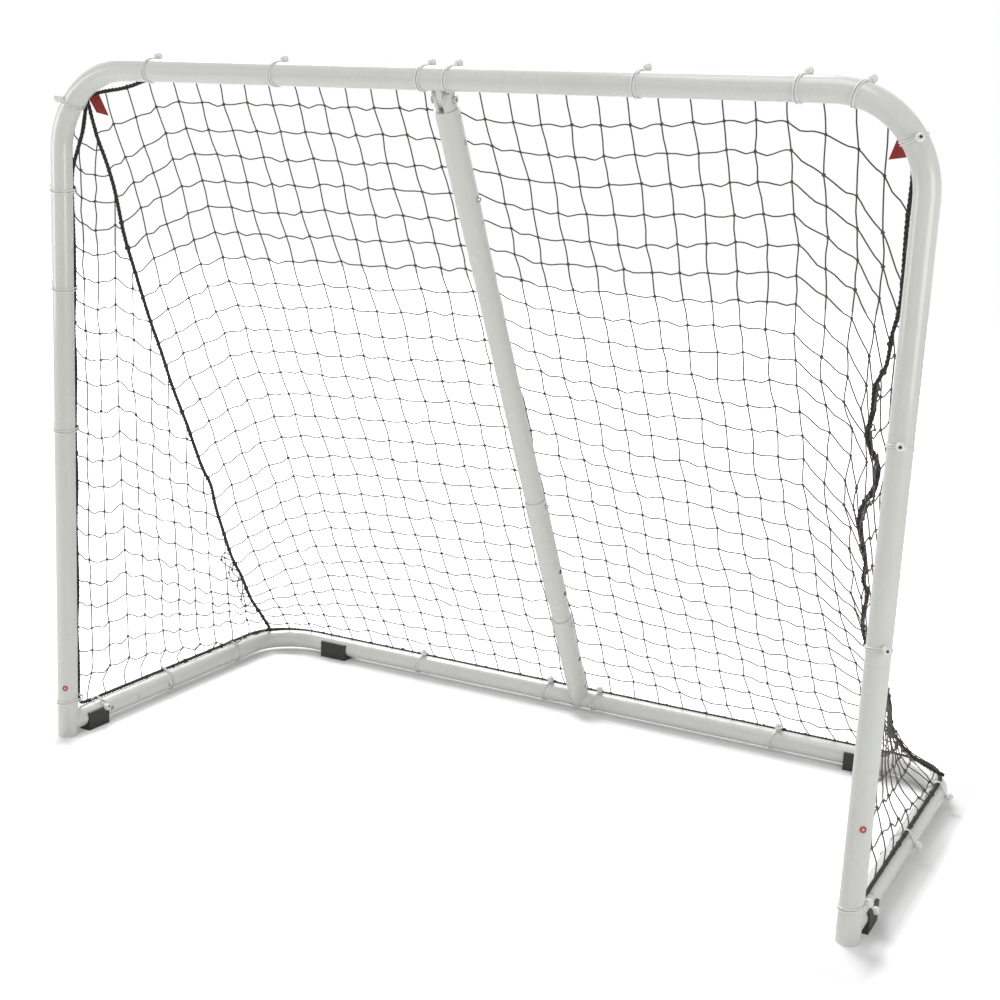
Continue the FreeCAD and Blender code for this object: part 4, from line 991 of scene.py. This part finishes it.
bungeeSet("footBungeeRight", [(at(postX, 0, 0.052), (0, 0, 1), toLeg[1], (0.894, 0.449, 0))],
          "front_frame", "post_bungees_right")
bungeeSet("heelBungeeRight", [(at(postX, 0.046, baseZ), (0, 1, 0), (0, 0, 1), (1, 0, 0.3))],
          "front_frame", "post_bungees_right")
rearTilt = math.radians(floorRope["rearTilt"])
rearSpots = []
for index in range(1, 5):
    x = middleOf(f"rear_bungee_{index}").x
    rearSpots.append((at(x, goal["rearY"], baseZ), (1, 0, 0), (0, math.cos(rearTilt), math.sin(rearTilt)),
                      (0, -0.05, 1)))
bungeeSet("rearBungees", rearSpots, "base_frame", *[f"rear_bungee_{k}" for k in range(1, 5)])
sidePlaces = {"left": (0.266, 0.470), "right": (0.300, 0.518)}
for side, way in (("left", -1), ("right", 1)):
    sideTilt = math.radians(floorRope["sideTilt"][way])
    spots = [(at(way * postX, y, baseZ), (0, 1, 0), (way * math.cos(sideTilt), 0, math.sin(sideTilt)),
              (way, 0, 0.1)) for y in sidePlaces[side]]
    bungeeSet("sideBungees" + side.capitalize(), spots, "base_frame", "side_bungees_" + side)
print("bungees made")


tag = {"thick": 0.0012, "bend": 0.003, "shift": {-1: (-0.014, 0.002, 0.010), 1: (0.0240, 0.004, -0.0015)},
       "lean": {-1: 0.010, 1: 0.0}}


def tagPiece(side, way):
    low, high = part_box("corner_tag_" + side)
    lowX, highX = low[0], high[0]
    width, height = highX - lowX, high[2] - low[2]
    base = Vector((lowX if way > 0 else highX, (low[1] + high[1]) / 2, low[2])) + Vector(tag["shift"][way])
    corners = [(0.0, 0.0), (0.611, 0.111), (1.0, 0.944), (0.333, 1.0)]
    bm = bmesh.new()
    steps, rows = 8, []
    for j in range(steps + 1):
        v = j / steps
        row = []
        for i in range(steps + 1):
            u = i / steps
            a = [corners[0][k] * (1 - u) + corners[1][k] * u for k in (0, 1)]
            b = [corners[3][k] * (1 - u) + corners[2][k] * u for k in (0, 1)]
            x, z = (a[k] * (1 - v) + b[k] * v for k in (0, 1))
            y = tag["bend"] * math.sin(math.pi * u) * (0.3 + 0.7 * v)
            row.append(bm.verts.new(base + Vector((way * (x * width + tag["lean"][way] * z), y, z * height))))
        rows.append(row)
    for j in range(steps):
        for i in range(steps):
            bm.faces.new((rows[j][i], rows[j][i + 1], rows[j + 1][i + 1], rows[j + 1][i]))
    obj = finished(bm, "tag" + side.capitalize(), redFabric)
    wall = obj.modifiers.new("thick", "SOLIDIFY")
    wall.thickness = tag["thick"]
    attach(obj, "front_frame")
    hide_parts("corner_tag_" + side)


for side, way in (("left", -1), ("right", 1)):
    tagPiece(side, way)
print("tags made")


plug = {"turn": math.radians(28), "raise": 0.005, "sides": 20}
# radius, height and whether the pale middle shows
plugProfile = ((0.0, 0.0011, 1), (0.0013, 0.0010, 1), (0.0019, 0.0005, 1), (0.0021, 0.0006, 0),
               (0.0026, 0.0016, 0), (0.0038, 0.0018, 0), (0.0045, 0.0012, 0), (0.0047, -0.0006, 0))


def plugPiece(side, way):
    out = Vector((math.sin(plug["turn"]), -math.cos(plug["turn"]), 0))
    across = Vector((out.y, -out.x, 0))
    middle = at(way * postX, 0, middleOf("post_plug_" + side).z + plug["raise"]) + out * goal["tube"]
    bm = bmesh.new()
    pale = bm.verts.layers.float.new("pale")
    rings = []
    for radius, height, shows in plugProfile:
        turns = [math.tau * j / plug["sides"] for j in range(plug["sides"])] if radius else [0]
        # each ring lies on the round of the post
        ring = [bm.verts.new(middle + out * (height - (radius * math.cos(a)) ** 2 / goal["tube"] / 2)
                             + across * radius * math.cos(a) + Vector((0, 0, radius * math.sin(a))))
                for a in turns]
        for vert in ring:
            vert[pale] = shows
        rings.append(ring)
    stitched(bm, rings, plug["sides"])
    obj = finished(bm, "plug" + side.capitalize(), ringedPlastic)
    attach(obj, "front_frame")
    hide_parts("post_plug_" + side)


for side, way in (("left", -1), ("right", 1)):
    plugPiece(side, way)
print("plugs made")


stage = {
    "floor": 0.88, "glow": 0.08, "farGlow": 1.0, "half": (0.685, 0.30),
    "near": 0.030, "fade": 0.060, "front": -0.385, "worldLight": 0.26,
}


def floorMaterial():
    # shaded by the lights in a band along the base's bars, and white elsewhere
    material, tree, shader = newMaterial("floorWhite", (stage["floor"],) * 3, 0.9)
    shader.inputs["Specular IOR Level"].default_value = 0.0
    link = tree.links.new
    place = addNode(tree, "ShaderNodeTexCoord")
    apart = addNode(tree, "ShaderNodeSeparateXYZ")
    link(place.outputs["Object"], apart.inputs["Vector"])
    beyond = []
    size = addNode(tree, "ShaderNodeMath", operation="ABSOLUTE")
    link(apart.outputs["X"], size.inputs[0])
    for source, half in zip((size.outputs[0], apart.outputs["Y"]), stage["half"]):
        past = addNode(tree, "ShaderNodeMath", operation="SUBTRACT")
        past.inputs[1].default_value = half
        link(source, past.inputs[0])
        beyond.append(past.outputs[0])
    farther = addNode(tree, "ShaderNodeMath", operation="MAXIMUM")
    link(beyond[0], farther.inputs[0])
    link(beyond[1], farther.inputs[1])
    aside = addNode(tree, "ShaderNodeMath", operation="ABSOLUTE")
    link(farther.outputs[0], aside.inputs[0])
    ahead = addNode(tree, "ShaderNodeMath", operation="SUBTRACT")
    ahead.inputs[0].default_value = stage["front"]
    link(apart.outputs["Y"], ahead.inputs[1])
    away = addNode(tree, "ShaderNodeMath", operation="MAXIMUM")
    link(aside.outputs[0], away.inputs[0])
    link(ahead.outputs[0], away.inputs[1])
    level = addNode(tree, "ShaderNodeMapRange", {
        "From Min": stage["near"], "From Max": stage["near"] + stage["fade"],
        "To Min": stage["glow"], "To Max": stage["farGlow"]})
    link(away.outputs[0], level.inputs["Value"])
    glow = addNode(tree, "ShaderNodeEmission", {"Color": (1, 1, 1, 1)})
    ray = addNode(tree, "ShaderNodeLightPath")
    strength = addNode(tree, "ShaderNodeMath", operation="MULTIPLY")
    both = addNode(tree, "ShaderNodeAddShader")
    link(ray.outputs["Is Camera Ray"], strength.inputs[0])
    link(level.outputs["Result"], strength.inputs[1])
    link(strength.outputs[0], glow.inputs["Strength"])
    link(shader.outputs["BSDF"], both.inputs[0])
    link(glow.outputs["Emission"], both.inputs[1])
    link(both.outputs["Shader"], tree.nodes["Material Output"].inputs["Surface"])
    return material


floorMesh = bpy.data.meshes.new("floor")
floorMesh.from_pydata([(-9, -9, 0), (9, -9, 0), (9, 9, 0), (-9, 9, 0)], [], [(0, 1, 2, 3)])
floorMesh.materials.append(floorMaterial())
floor = bpy.data.objects.new("floor", floorMesh)
bpy.context.scene.collection.objects.link(floor)

world = bpy.data.worlds.new("studio")
bpy.context.scene.world = world
world.use_nodes = True
worldTree = world.node_tree
background = worldTree.nodes["Background"]
path = addNode(worldTree, "ShaderNodeLightPath")
seen = addNode(worldTree, "ShaderNodeMath", operation="MAXIMUM")
level = addNode(worldTree, "ShaderNodeMapRange", {"To Min": stage["worldLight"], "To Max": 1.0})
worldTree.links.new(path.outputs["Is Camera Ray"], seen.inputs[0])
worldTree.links.new(path.outputs["Is Glossy Ray"], seen.inputs[1])
worldTree.links.new(seen.outputs[0], level.inputs["Value"])
worldTree.links.new(level.outputs["Result"], background.inputs["Strength"])
background.inputs["Color"].default_value = (1, 1, 1, 1)


def softLight(name, place, target, size, power):
    lamp = bpy.data.lights.new(name, "AREA")
    lamp.shape, lamp.size, lamp.energy = "SQUARE", size, power
    obj = bpy.data.objects.new(name, lamp)
    obj.location = place
    obj.rotation_euler = (Vector(target) - Vector(place)).to_track_quat("-Z", "Y").to_euler()
    bpy.context.scene.collection.objects.link(obj)


# name, place, what it is turned to, side and power
lamps = (
    ("keyLight", (-5.2, 4.6, 7.8), (0, 0.1, 0.0), 5.2, 950),
    ("topLight", (0.2, -0.9, 2.6), (0, -0.1, 0.4), 1.2, 12),
    ("leftLight", (-2.3, -1.3, 1.0), (-0.6, -0.2, 0.6), 1.1, 13),
    ("rightLight", (2.2, -1.1, 1.0), (0.6, -0.2, 0.6), 1.1, 12),
)
for lampValues in lamps:
    softLight(*lampValues)
print("lights made")

view = {
    "place": (1.0904, -1.9465, 0.9961), "azimuth": 26.65, "height": 12.74, "roll": 0.0496,
    "lens": 57.17, "shift": (0.0067, 0.0101),
}
azimuth, height = math.radians(view["azimuth"]), math.radians(view["height"])
forward = -Vector((
    math.sin(azimuth) * math.cos(height), -math.cos(azimuth) * math.cos(height), math.sin(height)))
right = forward.cross(Vector((0, 0, 1))).normalized()
upward = right.cross(forward)
c, s = math.cos(view["roll"]), math.sin(view["roll"])
camera = bpy.data.objects.new("camera", bpy.data.cameras.new("camera"))
camera.data.sensor_width = 36
camera.data.lens = view["lens"]
camera.data.shift_x, camera.data.shift_y = view["shift"]
camera.matrix_world = Matrix.Translation(at(*view["place"])) @ Matrix(
    (right * c + upward * s, upward * c - right * s, -forward)).transposed().to_4x4()
bpy.context.scene.collection.objects.link(camera)
bpy.context.scene.camera = camera
bpy.context.scene.view_settings.view_transform = "Standard"

print("scene ready")
